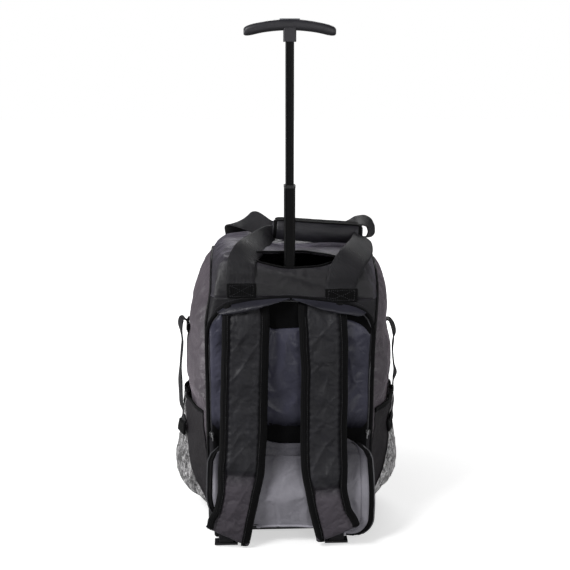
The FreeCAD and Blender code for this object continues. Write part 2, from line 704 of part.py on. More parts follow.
def side_handles():
    """A webbing strip on each side, with a patch behind each of its ends."""
    width = dim["webbing_narrow"]
    patches = []
    for side, sign in SIDES:
        path = [(sign * x, 0, z) for x, z in SIDE_HANDLE]
        shape_node(side + "_side_handle", strip(path, 3.0, width=width, axis=Y_AXIS))
        upper = side_box(sign, 180, 188.6, -width / 2, width / 2, 362, 386).cut(outer_form)
        lower = side_box(sign, 195, 204.9, -width / 2, width / 2, 180, 200)
        lower = lower.cut(form(0.15, heights=POUCH_HEIGHTS))
        patches += [s for s in upper.Solids + lower.Solids if s.Volume > 20]
    shape_node("side_handle_patches", Part.makeCompound(patches))


def gusset_part(ring, sign, z0, z1, least):
    """The part of a ring that lies on one gusset between two heights."""
    window = side_box(sign, dim["seam_half"] + 0.3, REACH, -84, 96, z0, z1)
    return solids_only(ring.common(window), least)


def mesh_pockets():
    """A thin pouch on each gusset, and the binding along its top edge."""
    pouch = form(heights=POUCH_HEIGHTS).cut(form(-1.4, heights=POUCH_HEIGHTS)).cut(form(0.3))
    for side, sign in SIDES:
        shape_node(side + "_mesh_pocket", gusset_part(pouch, sign, 52, 226, least=200))
    binding = form(0.6, heights=BINDING_HEIGHTS)
    binding = binding.cut(form(-2.2, -1, -1, heights=BINDING_HEIGHTS)).cut(form(0.3))
    both = [gusset_part(binding, sign, 226.5, 235, least=100) for _, sign in SIDES]
    shape_node("pocket_bindings", Part.makeCompound(both))


# ---------- the front door's pocket and zips ----------
POCKET_GAP = 0.5  # between the body's front and the pocket's back


def front_pocket():
    """A rounded box on the door, hollow and open toward the bag."""
    body = node("PartDesign::Body", "front_pocket")
    width, height = "2*Dims.pocket_half", "Dims.pocket_high-Dims.pocket_low"
    centre = ("0", "(Dims.pocket_high+Dims.pocket_low)/2")
    outline = rectangle(sketch(body, "pocket_outline", "XZ_Plane"), width, height, *centre)
    block = pad(body, outline, "Dims.pocket_depth", reverse=True)
    fillet(body, block, edges_along(block.Shape, Y_AXIS), "Dims.pocket_corner")
    hollow = rectangle(sketch(body, "pocket_hollow", "XZ_Plane"),
                       width + "-2*Dims.pocket_rim", height + "-2*Dims.pocket_rim", *centre)
    pocket(body, hollow, "Dims.pocket_depth-Dims.pocket_skin")
    bind(body, "0", "Dims.body_half_depth+%s" % POCKET_GAP, "0")


def door_zips():
    """Tape round the door, the pocket's zip bar with its slider, and the door's sliders."""
    tape = door_prism(6, 138, 143).cut(door_prism(dim["door_gap"], 130, 150))
    tape = tape.common(box(-300, 300, 139.5, 142.2, 90, 470)).cut(form(0.05))
    shape_node("door_zip_tape", solids_only(tape, 100))

    face = dim["body_half_depth"] + POCKET_GAP + dim["pocket_depth"]
    bar = box(-58, 58, face + 0.3, face + 3.1, 268, 274)
    slider = box(40, 52, face + 3.1, face + 6.5, 266, 276)
    shape_node("pocket_zip", bar.fuse(slider))

    sliders = []
    for x in (-9, 9):
        slider = box(x - 5, x + 5, 142.7, 146.4, 420, 429.5)
        tab = box(x - 2.6, x + 2.6, 146.4, 148.0, 398, 427)
        sliders.append(slider.fuse(tab))
    shape_node("door_zip_sliders", Part.makeCompound(sliders))


# ---------- build ----------
body_panels()
back_pad()
bag_stow_tape()
inside_boards()
ball_cup()
wheel_carriage()
for side, sign in SIDES:
    wheel(side, sign)
front_feet()
post()
grip()
grip_button()
lock_rod()
button_spring()
shoulder_strap("left", column=2, buckle_shift=-4)
shoulder_strap("right", column=3, buckle_shift=-1)
for side, sign in SIDES:
    piping(side, sign)
stow_flap()
for side, sign in SIDES:
    stow_slider(side, sign)
carry_handle()
side_handles()
mesh_pockets()
front_pocket()
door_zips()

# ---------- recompute, test and write ----------
doc.recompute()
bad = [o.Name for o in doc.Objects if "Invalid" in o.State or "Error" in o.State]
if bad:
    raise RuntimeError("failed objects: %s" % bad)
for obj in nodes:
    shape = obj.Shape
    if shape.isNull() or not shape.isValid():
        raise RuntimeError("bad shape: " + obj.Label)
    if not shape.Solids or any(s.Volume <= 0 for s in shape.Solids):
        raise RuntimeError("no volume: " + obj.Label)
if len({obj.Label for obj in nodes}) < len(nodes):
    raise RuntimeError("two nodes share a label")

os.makedirs("parts", exist_ok=True)
for old in os.listdir("parts"):
    if old.endswith(".step"):
        os.remove(os.path.join("parts", old))
for obj in nodes:
    obj.Shape.exportStep("parts/%s.step" % obj.Label)
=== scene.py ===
"""A wheeled bag with shoulder straps, a stow flap, a carry handle and telescoping tubes.

The bag stands on the floor at z = 0. Its back, with the straps and the open flap, faces -y
and the camera; its front, with the door, faces +y. Left is -x and right is +x.
"""
import bpy
import bmesh
import math
import numpy as np
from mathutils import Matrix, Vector, noise
from mathutils.bvhtree import BVHTree


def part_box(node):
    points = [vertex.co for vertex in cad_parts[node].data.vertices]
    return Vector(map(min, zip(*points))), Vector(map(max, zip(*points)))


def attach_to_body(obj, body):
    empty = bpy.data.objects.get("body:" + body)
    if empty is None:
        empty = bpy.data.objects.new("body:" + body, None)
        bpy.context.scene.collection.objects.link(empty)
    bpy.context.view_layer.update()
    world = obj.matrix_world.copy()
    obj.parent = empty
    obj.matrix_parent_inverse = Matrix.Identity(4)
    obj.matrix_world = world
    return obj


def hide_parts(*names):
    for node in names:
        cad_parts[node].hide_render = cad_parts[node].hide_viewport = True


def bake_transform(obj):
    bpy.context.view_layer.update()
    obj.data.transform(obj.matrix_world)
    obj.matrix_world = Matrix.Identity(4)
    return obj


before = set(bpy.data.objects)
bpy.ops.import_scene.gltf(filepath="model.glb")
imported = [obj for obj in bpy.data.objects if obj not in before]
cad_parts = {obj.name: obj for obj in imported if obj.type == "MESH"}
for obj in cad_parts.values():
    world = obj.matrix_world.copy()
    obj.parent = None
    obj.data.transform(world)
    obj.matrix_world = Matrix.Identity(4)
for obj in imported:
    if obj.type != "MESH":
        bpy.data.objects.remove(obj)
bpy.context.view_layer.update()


# Shapes are worked out in millimetres and turned into metres when their mesh is made.
MM = 0.001
X_AXIS = np.array([1.0, 0, 0])
BACK, FRONT = -1, 1
SIDES = (("left", -1), ("right", 1))

# =============================================================================
# Materials. Lengths are in metres, because textures read object coordinates.
# =============================================================================


class Shader:
    """A material with a Principled surface, and short ways to add nodes to it."""

    def __init__(self, name):
        self.material = bpy.data.materials.new(name)
        self.material.use_nodes = True
        self.tree = self.material.node_tree
        self.tree.nodes.clear()
        output = self.node("ShaderNodeOutputMaterial")
        self.surface = self.node("ShaderNodeBsdfPrincipled")
        self.put(output.inputs["Surface"], self.surface.outputs[0])
        self.coordinates = self.node("ShaderNodeTexCoord")

    def node(self, kind, **props):
        node = self.tree.nodes.new(kind)
        for key, value in props.items():
            setattr(node, key, value)
        return node

    def put(self, socket, value):
        """Links a socket to another, or gives it a value."""
        if isinstance(value, bpy.types.NodeSocket):
            self.tree.links.new(value, socket)
        elif socket.type == "RGBA":
            socket.default_value = (*value[:3], 1)
        else:
            socket.default_value = value

    def math(self, operation, first, second=None, clamp=False):
        node = self.node("ShaderNodeMath", operation=operation, use_clamp=clamp)
        self.put(node.inputs[0], first)
        if second is not None:
            self.put(node.inputs[1], second)
        return node.outputs[0]

    def split(self, space="Object"):
        node = self.node("ShaderNodeSeparateXYZ")
        self.put(node.inputs[0], self.coordinates.outputs[space])
        return node.outputs

    def noise(self, scale, detail=3.0, rough=0.55, stretch=None, distortion=0.0):
        where = self.coordinates.outputs["Object"]
        if stretch:
            mapping = self.node("ShaderNodeMapping")
            self.put(mapping.inputs["Vector"], where)
            self.put(mapping.inputs["Scale"], stretch)
            where = mapping.outputs[0]
        node = self.node("ShaderNodeTexNoise")
        for key, value in (("Scale", scale), ("Detail", detail), ("Roughness", rough),
                           ("Distortion", distortion), ("Vector", where)):
            self.put(node.inputs[key], value)
        return node.outputs["Fac"]

    def ramp(self, factor, stops):
        """A colour ramp; each stop is (position, colour or grey level)."""
        node = self.node("ShaderNodeValToRGB")
        elements = node.color_ramp.elements
        while len(elements) < len(stops):
            elements.new(0.5)
        for element, (position, color) in zip(elements, stops):
            element.position = position
            element.color = (*color, 1) if isinstance(color, tuple) else (color, color, color, 1)
        self.put(node.inputs["Fac"], factor)
        return node.outputs["Color"]

    def mix(self, factor, first, second):
        node = self.node("ShaderNodeMix", data_type="RGBA")
        # inputs 6 and 7 and output 2 are the colour sockets
        for index, value in ((0, factor), (6, first), (7, second)):
            self.put(node.inputs[index], value)
        return node.outputs[2]

    def bump(self, height, strength, distance, under=None):
        node = self.node("ShaderNodeBump")
        self.put(node.inputs["Strength"], strength)
        self.put(node.inputs["Distance"], distance)
        self.put(node.inputs["Height"], height)
        if under is not None:
            self.put(node.inputs["Normal"], under)
        return node.outputs[0]

    def set(self, **inputs):
        for key, value in inputs.items():
            self.put(self.surface.inputs[key.replace("_", " ")], value)


def lighter(color, gain, lift=0.0):
    return tuple(min(1, c * gain + lift) for c in color)


def weave_height(m, pitch):
    """Over-and-under threads: one set up the piece, one across it."""
    x, y, z = m.split()
    turns = 2 * math.pi / pitch
    across = m.math("ADD", x, m.math("MULTIPLY", y, 0.93))
    return m.math("MULTIPLY", m.math("SINE", m.math("MULTIPLY", across, turns)),
                  m.math("SINE", m.math("MULTIPLY", z, turns)))


def fabric(name, dark, light, rough, weave, crumple, sheen, tint=(0.8, 0.8, 0.9), pitch=0.0011,
           spec=0.35, coarse=38.0, fade=None, dim=False):
    """Woven cloth: threads, slow colour drift, lint, crumple and sheen.

    fade is painted light and shade by height: (z of the other colour, z of the cloth's own
    colour, other colour); the other colour is painted shade on most cloths and painted light on
    the straps.
    dim takes the shine away with that painted shade.
    """
    m = Shader(name)
    drift = m.noise(scale=11.0, detail=4.0, rough=0.6)
    color = m.ramp(drift, [(0.32, dark), (0.72, light)])
    # painted light and shade: by height the cloth's colour turns into the other colour
    if fade:
        height = m.node("ShaderNodeMapRange", interpolation_type="SMOOTHSTEP")
        m.put(height.inputs["From Min"], fade[0])
        m.put(height.inputs["From Max"], fade[1])
        m.put(height.inputs["Value"], m.split()[2])
        other = m.ramp(drift, [(0.32, fade[2]), (0.72, lighter(fade[2], gain=1.12))])
        color = m.mix(height.outputs[0], other, color)
    lint = m.math("SUBTRACT", m.noise(scale=900.0, detail=2.0, rough=0.7), 0.35, clamp=True)
    color = m.mix(m.math("MULTIPLY", lint, 0.3), color, lighter(light, gain=1.8, lift=0.003))
    threads = weave_height(m, pitch)
    fine = m.noise(scale=coarse * 5.5, detail=4.0, rough=0.6, distortion=0.6)
    big = m.noise(scale=coarse, detail=5.0, stretch=(1.0, 1.0, 0.6), distortion=1.2)
    relief = m.bump(big, strength=crumple, distance=0.006)
    relief = m.bump(fine, strength=crumple * 0.6, distance=0.0012, under=relief)
    relief = m.bump(threads, strength=weave, distance=0.00035, under=relief)
    wear = m.noise(scale=60.0, detail=4.0)
    m.set(Base_Color=color, Normal=relief,
          Roughness=m.ramp(wear, [(0.3, rough - 0.07), (0.75, min(1.0, rough + 0.09))]),
          Specular_IOR_Level=spec, Sheen_Weight=sheen, Sheen_Roughness=0.45, Sheen_Tint=tint,
          Coat_Weight=0.0, Coat_Roughness=0.35)
    # painted shade: specular and sheen fall away together with the painted dark colour
    if dim:
        m.set(Specular_IOR_Level=m.math("MULTIPLY", height.outputs[0], spec),
              Sheen_Weight=m.math("MULTIPLY", height.outputs[0], sheen))
    return m.material


def ribbed(name, base, pitch=0.0026, rough=0.6, depth=0.5, spec=0.2):
    """Ribbed band: ribs spaced across it by U, threads along it by V."""
    m = Shader(name)
    u, v, _ = m.split("UV")
    rib = m.math("SINE", m.math("MULTIPLY", u, 2 * math.pi / pitch))
    thread = m.math("SINE", m.math("MULTIPLY", v, 2 * math.pi / (pitch * 0.62)))
    height = m.math("ADD", rib, m.math("MULTIPLY", thread, 0.6))
    drift = m.noise(scale=25.0, detail=4.0)
    fuzz = m.noise(scale=1400.0, detail=2.0)
    color = m.ramp(drift, [(0.3, base), (0.75, lighter(base, gain=1.7, lift=0.0008))])
    # painted highlight: the crests of the raised threads are drawn lighter
    raised = m.math("ADD", m.math("MULTIPLY", thread, 0.5), 0.5, clamp=True)
    color = m.mix(m.math("MULTIPLY", raised, 0.25), color, lighter(base, gain=2.4, lift=0.0015))
    crumple = m.noise(scale=70.0, detail=4.0, rough=0.6, distortion=0.8)
    relief = m.bump(crumple, strength=0.3, distance=0.003)
    relief = m.bump(height, strength=depth, distance=0.0004, under=relief)
    relief = m.bump(fuzz, strength=0.12, distance=0.0004, under=relief)
    m.set(Base_Color=color, Normal=relief,
          Roughness=m.ramp(drift, [(0.3, rough - 0.06), (0.7, rough + 0.1)]),
          Sheen_Weight=0.04, Sheen_Roughness=0.5, Specular_IOR_Level=spec)
    return m.material


def plastic(name, base, rough=0.42, grain=900.0, strength=0.12, spec=0.5):
    """Moulded plastic: fine grain, wear on its edges and slight waviness."""
    m = Shader(name)
    wear = m.noise(scale=45.0, detail=6.0, rough=0.65)
    geometry = m.node("ShaderNodeNewGeometry")
    edge = m.ramp(geometry.outputs["Pointiness"], [(0.5, 0.0), (0.58, 1.0)])
    color = m.ramp(wear, [(0.35, base), (0.8, lighter(base, gain=1.5, lift=0.002))])
    color = m.mix(m.math("MULTIPLY", edge, 0.3), color, lighter(base, gain=2.5, lift=0.012))
    relief = m.bump(m.noise(scale=grain, detail=2.0, rough=0.6), strength=strength,
                    distance=0.0003)
    relief = m.bump(m.noise(scale=18.0, detail=2.0), strength=0.05, distance=0.002,
                    under=relief)
    m.set(Base_Color=color, Normal=relief, Specular_IOR_Level=spec,
          Roughness=m.ramp(wear, [(0.3, rough), (0.8, min(1, rough + 0.18))]))
    return m.material


def metal(name, base, rough=0.3, metallic=1.0):
    """Metal with fine scratches up it and slow blotches."""
    m = Shader(name)
    scratches = m.noise(scale=30.0, detail=5.0, rough=0.6, stretch=(60, 60, 3))
    blotches = m.noise(scale=22.0, detail=4.0)
    m.set(Base_Color=m.ramp(blotches, [(0.3, base), (0.8, lighter(base, 1.35, 0.005))]),
          Metallic=metallic,
          Roughness=m.ramp(scratches, [(0.25, rough - 0.05), (0.8, rough + 0.16)]),
          Normal=m.bump(scratches, strength=0.15, distance=0.0002))
    return m.material


def painted(name, base, rough=0.32):
    """Satin paint with orange peel, long scuffs and lighter rubbed edges."""
    m = Shader(name)
    scuff = m.noise(scale=24.0, detail=6.0, rough=0.7, stretch=(30, 30, 1.2))
    peel = m.noise(scale=700.0, detail=2.0)
    geometry = m.node("ShaderNodeNewGeometry")
    edge = m.ramp(geometry.outputs["Pointiness"], [(0.5, 0.0), (0.6, 1.0)])
    color = m.ramp(scuff, [(0.6, base), (0.98, lighter(base, gain=2, lift=0.003))])
    color = m.mix(m.math("MULTIPLY", edge, 0.2), color, (0.015, 0.015, 0.016))
    m.set(Base_Color=color, Normal=m.bump(peel, strength=0.06, distance=0.0003),
          Roughness=m.ramp(scuff, [(0.4, rough), (0.9, rough + 0.2)]),
          Specular_IOR_Level=0.12, Coat_Weight=0.03, Coat_Roughness=0.2)
    return m.material


def mesh_cloth(name):
    """Knitted pocket mesh: strands round small openings, with painted light: paler to the right,
    in patches and near white on the crinkles.
    """
    m = Shader(name)
    x, y, z = m.split()
    flat = m.node("ShaderNodeCombineXYZ")
    m.put(flat.inputs[0], y)
    m.put(flat.inputs[1], z)
    cells = m.node("ShaderNodeTexVoronoi", feature="DISTANCE_TO_EDGE")
    m.put(cells.inputs["Scale"], 520.0)
    m.put(cells.inputs["Randomness"], 0.25)
    m.put(cells.inputs["Vector"], flat.outputs[0])
    strand = m.ramp(cells.outputs["Distance"], [(0.14, 1.0), (0.26, 0.0)])
    crinkle = m.noise(scale=85.0, detail=6.0, rough=0.7, distortion=1.8)
    streak = m.noise(scale=40.0, detail=5.0, rough=0.65, stretch=(1.0, 2.6, 0.7),
                     distortion=2.4)
    crinkle = m.math("ADD", m.math("MULTIPLY", crinkle, 0.55), m.math("MULTIPLY", streak, 0.45))
    # painted highlight: the pale ramp rises to near white on the crinkles
    pale = m.ramp(crinkle, [(0.41, (0.07, 0.065, 0.07)), (0.48, (0.34, 0.33, 0.34)),
                            (0.53, (0.74, 0.73, 0.74)), (0.59, (1.0, 0.99, 1.0))])
    gaps = m.ramp(crinkle, [(0.43, (0.008, 0.007, 0.008)), (0.60, (0.36, 0.355, 0.36))])
    # painted light and shade in patches over the mesh
    painted_light_patches = m.noise(scale=24.0, detail=4.0, rough=0.6, stretch=(1.0, 1.6, 0.5),
                     distortion=3.0)
    painted_light_patches = m.ramp(painted_light_patches, [(0.43, 0.30), (0.50, 0.85), (0.58, 1.0)])
    # painted light: the mesh is paler towards +x, on the right pocket
    painted_light_rightward = m.math("ADD", m.math("MULTIPLY", x, 2.0), 1.26)
    painted_light_mask = m.math("MULTIPLY", painted_light_patches, painted_light_rightward, clamp=True)
    # painted light: the gaps also turn paler towards +x
    gaps = m.mix(m.math("MULTIPLY", x, 3.6, clamp=True), gaps, pale)
    color = m.mix(painted_light_mask, (0.0, 0.0, 0.0), m.mix(strand, gaps, pale))
    relief = m.bump(crinkle, strength=0.8, distance=0.006)
    relief = m.bump(strand, strength=0.6, distance=0.0006, under=relief)
    m.set(Base_Color=color, Roughness=0.55, Normal=relief, Sheen_Weight=0.2)
    return m.material


MAT = dict(
    shell=fabric("shell_black_weave", (0.0050, 0.0047, 0.0064), (0.0115, 0.0106, 0.0140),
                 rough=0.52, pitch=0.0012, weave=0.3, crumple=0.22, sheen=0.04, spec=0.34,
                 coarse=20),
    # painted light and shade: a lighter copy of the black shell cloth where the top faces the
    # lamps, fading to painted shade below z 0.492-0.532
    top=fabric("top_black_weave", (0.0150, 0.0137, 0.0186), (0.0330, 0.0301, 0.0395),
               rough=0.46, pitch=0.0012, weave=0.28, crumple=0.20, sheen=0.30,
               tint=(0.88, 0.82, 1.0), spec=0.55, coarse=16,
               fade=(0.492, 0.532, (0.0026, 0.0024, 0.0034))),
    side=fabric("gusset_satin_weave", (0.040, 0.033, 0.041), (0.080, 0.067, 0.081),
                rough=0.42, pitch=0.0012, weave=0.25, crumple=0.22, sheen=0.36,
                tint=(0.97, 0.85, 0.96), spec=0.6, coarse=16),
    # painted shade: a much darker copy of the gusset cloth, for the gore in shade low at the
    # back
    gore=fabric("gore_dark_weave", (0.0042, 0.0034, 0.0048), (0.0095, 0.0078, 0.0104),
                rough=0.5, pitch=0.0012, weave=0.3, crumple=0.25, sheen=0.05,
                tint=(1.0, 0.86, 0.98), spec=0.32, coarse=20),
    # painted shade: fades to near black at its foot, where it rolls under, and dims its shine
    # there
    lining=fabric("lining_blue_satin", (0.022, 0.0222, 0.039), (0.056, 0.0555, 0.086),
                  rough=0.42, pitch=0.0008, weave=0.12, crumple=0.30, sheen=0.16,
                  tint=(0.8, 0.82, 1.0), spec=0.45, coarse=16,
                  fade=(0.203, 0.246, (0.0009, 0.0009, 0.0012)), dim=True),
    # painted shade: a darker copy of the lining satin for the crescents under the arch lip
    eyelid=fabric("eyelid_blue_satin", (0.0080, 0.0078, 0.0125), (0.024, 0.0235, 0.034),
                  rough=0.42, pitch=0.0008, weave=0.12, crumple=0.35, sheen=0.1,
                  tint=(0.8, 0.82, 1.0), spec=0.42, coarse=22),
    # painted shade: darker towards the hinge, where the straps shade it
    flap=fabric("flap_grey_satin", (0.225, 0.218, 0.250), (0.345, 0.336, 0.378),
                rough=0.48, pitch=0.0008, weave=0.14, crumple=0.38, sheen=0.16,
                tint=(0.9, 0.9, 1.0), spec=0.4, coarse=18,
                fade=(0.176, 0.090, (0.038, 0.0365, 0.047))),
    # painted light: a lighter copy of the flap satin for the hem roll, whose downward side would
    # fall in shade
    flap_hem_lit=fabric("flap_hem_painted_light", (0.30, 0.29, 0.33), (0.42, 0.41, 0.46),
                     rough=0.5, pitch=0.0008, weave=0.14, crumple=0.3, sheen=0.2,
                     tint=(0.9, 0.9, 1.0), spec=0.4, coarse=18),
    flap_back=fabric("flap_outer_weave", (0.0055, 0.0052, 0.0065), (0.0125, 0.0120, 0.0145),
                     rough=0.5, pitch=0.0012, weave=0.25, crumple=0.3, sheen=0.04, spec=0.35),
    # painted light: both straps turn a lighter mauve below their crease, where they face the
    # lamps
    strap_left=fabric("left_strap_weave", (0.0080, 0.0079, 0.0104), (0.0190, 0.0186, 0.0232),
                      rough=0.5, weave=0.3, crumple=0.26, sheen=0.12, tint=(0.84, 0.84, 1.0),
                      spec=0.38, coarse=22, fade=(0.116, 0.150, (0.060, 0.051, 0.063))),
    strap_right=fabric("right_strap_weave", (0.0080, 0.0079, 0.0104), (0.0190, 0.0186, 0.0232),
                       rough=0.5, weave=0.3, crumple=0.26, sheen=0.12, tint=(0.84, 0.84, 1.0),
                       spec=0.38, coarse=22, fade=(0.092, 0.124, (0.068, 0.058, 0.071))),
    wrap=fabric("wrap_padded_weave", (0.0090, 0.0086, 0.0118), (0.0215, 0.0204, 0.0262),
                rough=0.42, weave=0.25, crumple=0.22, sheen=0.12, tint=(0.84, 0.84, 1.0),
                spec=0.55, coarse=28),
    web=ribbed("webbing_ribbed", (0.0058, 0.0055, 0.0074), pitch=0.0024, depth=0.6, rough=0.48,
               spec=0.32),
    bind=ribbed("binding_tape", (0.0013, 0.0013, 0.0016), pitch=0.0032, depth=0.6, rough=0.66,
                spec=0.09),
    pipe=ribbed("piping_cord", (0.0022, 0.0022, 0.0027), pitch=0.0040, depth=0.35, rough=0.48,
                spec=0.24),
    tape=ribbed("zip_tape_cloth", (0.0018, 0.0018, 0.0022), pitch=0.0018, depth=0.4, spec=0.12),
    # painted highlight: the coil is light grey so the zip reads as a thin bright line
    coil_highlight=plastic("zip_coil", (0.060, 0.060, 0.066), rough=0.3),
    grip=plastic("grip_moulded", (0.0180, 0.0172, 0.0215), rough=0.42, spec=0.55),
    thread=fabric("thread_dark", (0.035, 0.035, 0.038), (0.055, 0.055, 0.06), rough=0.6,
                  pitch=0.0006, weave=0.2, crumple=0.1, sheen=0.2),
    mesh=mesh_cloth("pocket_mesh"),
    # painted shade: near-black matte sheets put in the bay where there is only shade
    dark=fabric("shade_sheet_black_weave", (0.0018, 0.0018, 0.002), (0.004, 0.004, 0.0045), rough=0.9,
                weave=0.1, crumple=0.2, sheen=0.0, spec=0.1),
    plastic=plastic("moulded_black", (0.0085, 0.0082, 0.0100), rough=0.4, spec=0.5),
    gloss=plastic("moulded_gloss", (0.008, 0.008, 0.009), rough=0.25, strength=0.04),
    button=plastic("button_grey", (0.10, 0.105, 0.115), rough=0.35, strength=0.05),
    tyre=plastic("tyre_rubber", (0.016, 0.016, 0.017), rough=0.72, grain=500, strength=0.25,
                 spec=0.3),
    tube=painted("tube_satin_paint", (0.0012, 0.0012, 0.0014)),
    steel=metal("bright_steel", (0.52, 0.52, 0.53), rough=0.28),
    slider=metal("zip_slider_black", (0.05, 0.05, 0.052), rough=0.35, metallic=0.8),
    puller=metal("zip_plating", (0.34, 0.34, 0.35), rough=0.26),
    board=plastic("board_sheet", (0.05, 0.05, 0.052), rough=0.6),
    foam=plastic("cell_foam", (0.045, 0.045, 0.048), rough=0.9, grain=650, strength=0.5,
                 spec=0.1),
)

# =============================================================================
# Number and curve helpers
# =============================================================================


def ease(low, high, x):
    """0 before low, 1 past high, with a smooth step between; low may be the larger."""
    t = np.clip((x - low) / (high - low), 0, 1)
    return t * t * (3 - 2 * t)


def bell(x, centre, width, power=2):
    return math.exp(-((x - centre) / width) ** power)


def ripple(x, y, z):
    return noise.noise(Vector((float(x), float(y), float(z))))


def ridge(x, y, z):
    return (1 - abs(ripple(x, y, z))) ** 2


def unit_rows(vectors):
    return vectors / np.linalg.norm(vectors, axis=1, keepdims=True)


def tangents(path):
    return unit_rows(np.gradient(path, axis=0))


def run_length(points):
    """Distance along a path at each of its points."""
    return np.r_[0, np.cumsum(np.linalg.norm(np.diff(points, axis=0), axis=1))]


def resample(rows, run, at):
    """Rows given at distances run, read at other distances."""
    return np.stack([np.interp(at, run, rows[:, k]) for k in range(rows.shape[1])], axis=1)


def spline_span(p0, p1, p2, p3, steps):
    """Catmull-Rom points from p1 up to, but without, p2."""
    return [0.5 * ((2 * p1) + (-p0 + p2) * t + (2 * p0 - 5 * p1 + 4 * p2 - p3) * t * t
                   + (-p0 + 3 * p1 - 3 * p2 + p3) * t ** 3)
            for t in np.linspace(0, 1, steps, endpoint=False)]


def catmull(points, count):
    """Evenly spaced points on a smooth curve through rows of any width."""
    rows = np.asarray(points, float)
    rows = np.vstack([2 * rows[0] - rows[1], rows, 2 * rows[-1] - rows[-2]])
    curve = []
    for i in range(1, len(rows) - 2):
        curve += spline_span(*rows[i - 1:i + 3], 24)
    curve = np.array(curve + [rows[-2]])
    run = run_length(curve[:, :3])
    return resample(curve, run, np.linspace(0, run[-1], count))


def grid_normals(points):
    """Normals of a grid of points [rows, columns, 3]."""
    normals = np.cross(np.gradient(points, axis=0), np.gradient(points, axis=1))
    length = np.linalg.norm(normals, axis=2, keepdims=True)
    length[length < 1e-12] = 1
    return normals / length


def oval(half_u, half_v, count=12):
    angles = [2 * math.pi * i / count for i in range(count)]
    return [(half_u * math.cos(a), half_v * math.sin(a)) for a in angles]


def band_section(width, thick, flats=6):
    """A flat band's section with rounded edges."""
    radius = thick / 2
    reach = width / 2 - radius
    points = []
    for side, degrees in ((1, (-90, 90)), (-1, (90, 270))):
        for a in np.linspace(*degrees, 5):
            points.append((side * reach + radius * math.cos(math.radians(a)),
                           radius * math.sin(math.radians(a))))
        for x in np.linspace(side * reach, -side * reach, flats)[1:-1]:
            points.append((x, side * radius))
    return points


# =============================================================================
# Mesh helpers
# =============================================================================


def lean_dx(x, z):
    """How far the filled bag gives to its right, all in metres."""
    shoulder = 0.0095 * ease(0.055, 0.155, x) * ease(0.330, 0.490, z)
    bulge = 0.0065 * ease(0.150, 0.177, x) * ease(0.385, 0.330, z) * ease(0.190, 0.235, z)
    slack = 0.0100 * ease(-0.105, -0.160, x) * ease(0.400, 0.475, z)
    return shoulder + bulge + slack


def lean(mesh):
    """Everything sewn to the bag leans and bulges along with it."""
    co = np.zeros(len(mesh.vertices) * 3, np.float32)
    mesh.vertices.foreach_get("co", co)
    co = co.reshape(-1, 3)
    co[:, 0] += lean_dx(co[:, 0], co[:, 2])
    mesh.vertices.foreach_set("co", co.ravel())
    mesh.update()


def new_object(name, mesh, materials):
    ob = bpy.data.objects.new(name, mesh)
    bpy.context.scene.collection.objects.link(ob)
    for material in materials:
        mesh.materials.append(material)
    return ob


def shade_smooth(mesh):
    mesh.polygons.foreach_set("use_smooth", [True] * len(mesh.polygons))


def leaning_object(name, mesh, materials, smooth=True):
    lean(mesh)
    ob = new_object(name, mesh, materials if isinstance(materials, list) else [materials])
    if smooth:
        shade_smooth(mesh)
    return ob


def mesh_from(name, verts, faces, materials, smooth=True, uvs=None, face_materials=None):
    """An object from points in metres, its faces turned outward."""
    mesh = bpy.data.meshes.new(name)
    mesh.from_pydata(np.asarray(verts, float).tolist(), [], faces)
    mesh.update()
    if uvs is not None:
        layer = mesh.uv_layers.new(name="UVMap")
        corner = np.zeros(len(mesh.loops), dtype=np.int32)
        mesh.loops.foreach_get("vertex_index", corner)
        layer.data.foreach_set("uv", np.asarray(uvs, float)[corner].reshape(-1))
    ob = leaning_object(name, mesh, materials, smooth)
    if face_materials:
        mesh.polygons.foreach_set("material_index", face_materials)
    bm = bmesh.new()
    bm.from_mesh(mesh)
    bmesh.ops.recalc_face_normals(bm, faces=bm.faces)
    bm.to_mesh(mesh)
    bm.free()
    return ob


def object_from_bmesh(name, bm, materials):
    bmesh.ops.recalc_face_normals(bm, faces=bm.faces)
    mesh = bpy.data.meshes.new(name)
    bm.to_mesh(mesh)
    bm.free()
    return leaning_object(name, mesh, materials)


def apply_all(ob):
    """Bakes the object's modifiers into its mesh."""
    bpy.context.view_layer.update()
    graph = bpy.context.evaluated_depsgraph_get()
    mesh = bpy.data.meshes.new_from_object(ob.evaluated_get(graph),
                                           preserve_all_data_layers=True, depsgraph=graph)
    mesh.name = ob.name
    ob.modifiers.clear()
    ob.data = mesh
    shade_smooth(mesh)
    return ob


def thicken(ob, thick):
    solidify = ob.modifiers.new("Thick", "SOLIDIFY")
    solidify.thickness = thick * MM
    solidify.offset = -1
    return solidify


def attach(ob, body, slot, *replaced):
    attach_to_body(ob, body)
    if replaced:
        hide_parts(*replaced)


def grid_faces(rows, cols):
    return [(i * cols + j, (i + 1) * cols + j, (i + 1) * cols + j + 1, i * cols + j + 1)
            for i in range(rows - 1) for j in range(cols - 1)]


def tube_faces(rings, count, caps=1):
    """Quads round a tube; caps 1 or -1 closes its ends, wound one way or the other."""
    faces = []
    for i in range(rings - 1):
        here, there = i * count, (i + 1) * count
        for j in range(count):
            k = (j + 1) % count
            faces.append((here + j, here + k, there + k, there + j))
    if caps:
        last = tuple((rings - 1) * count + j for j in range(count))
        faces += [cap[::caps] for cap in (tuple(range(count))[::-1], last)]
    return faces


def add_tube(bm, rings):
    """A capped tube through rings of points in millimetres."""
    verts = [bm.verts.new(Vector(p) * MM) for points in rings for p in points]
    for face in tube_faces(len(rings), len(rings[0])):
        bm.faces.new([verts[i] for i in face])


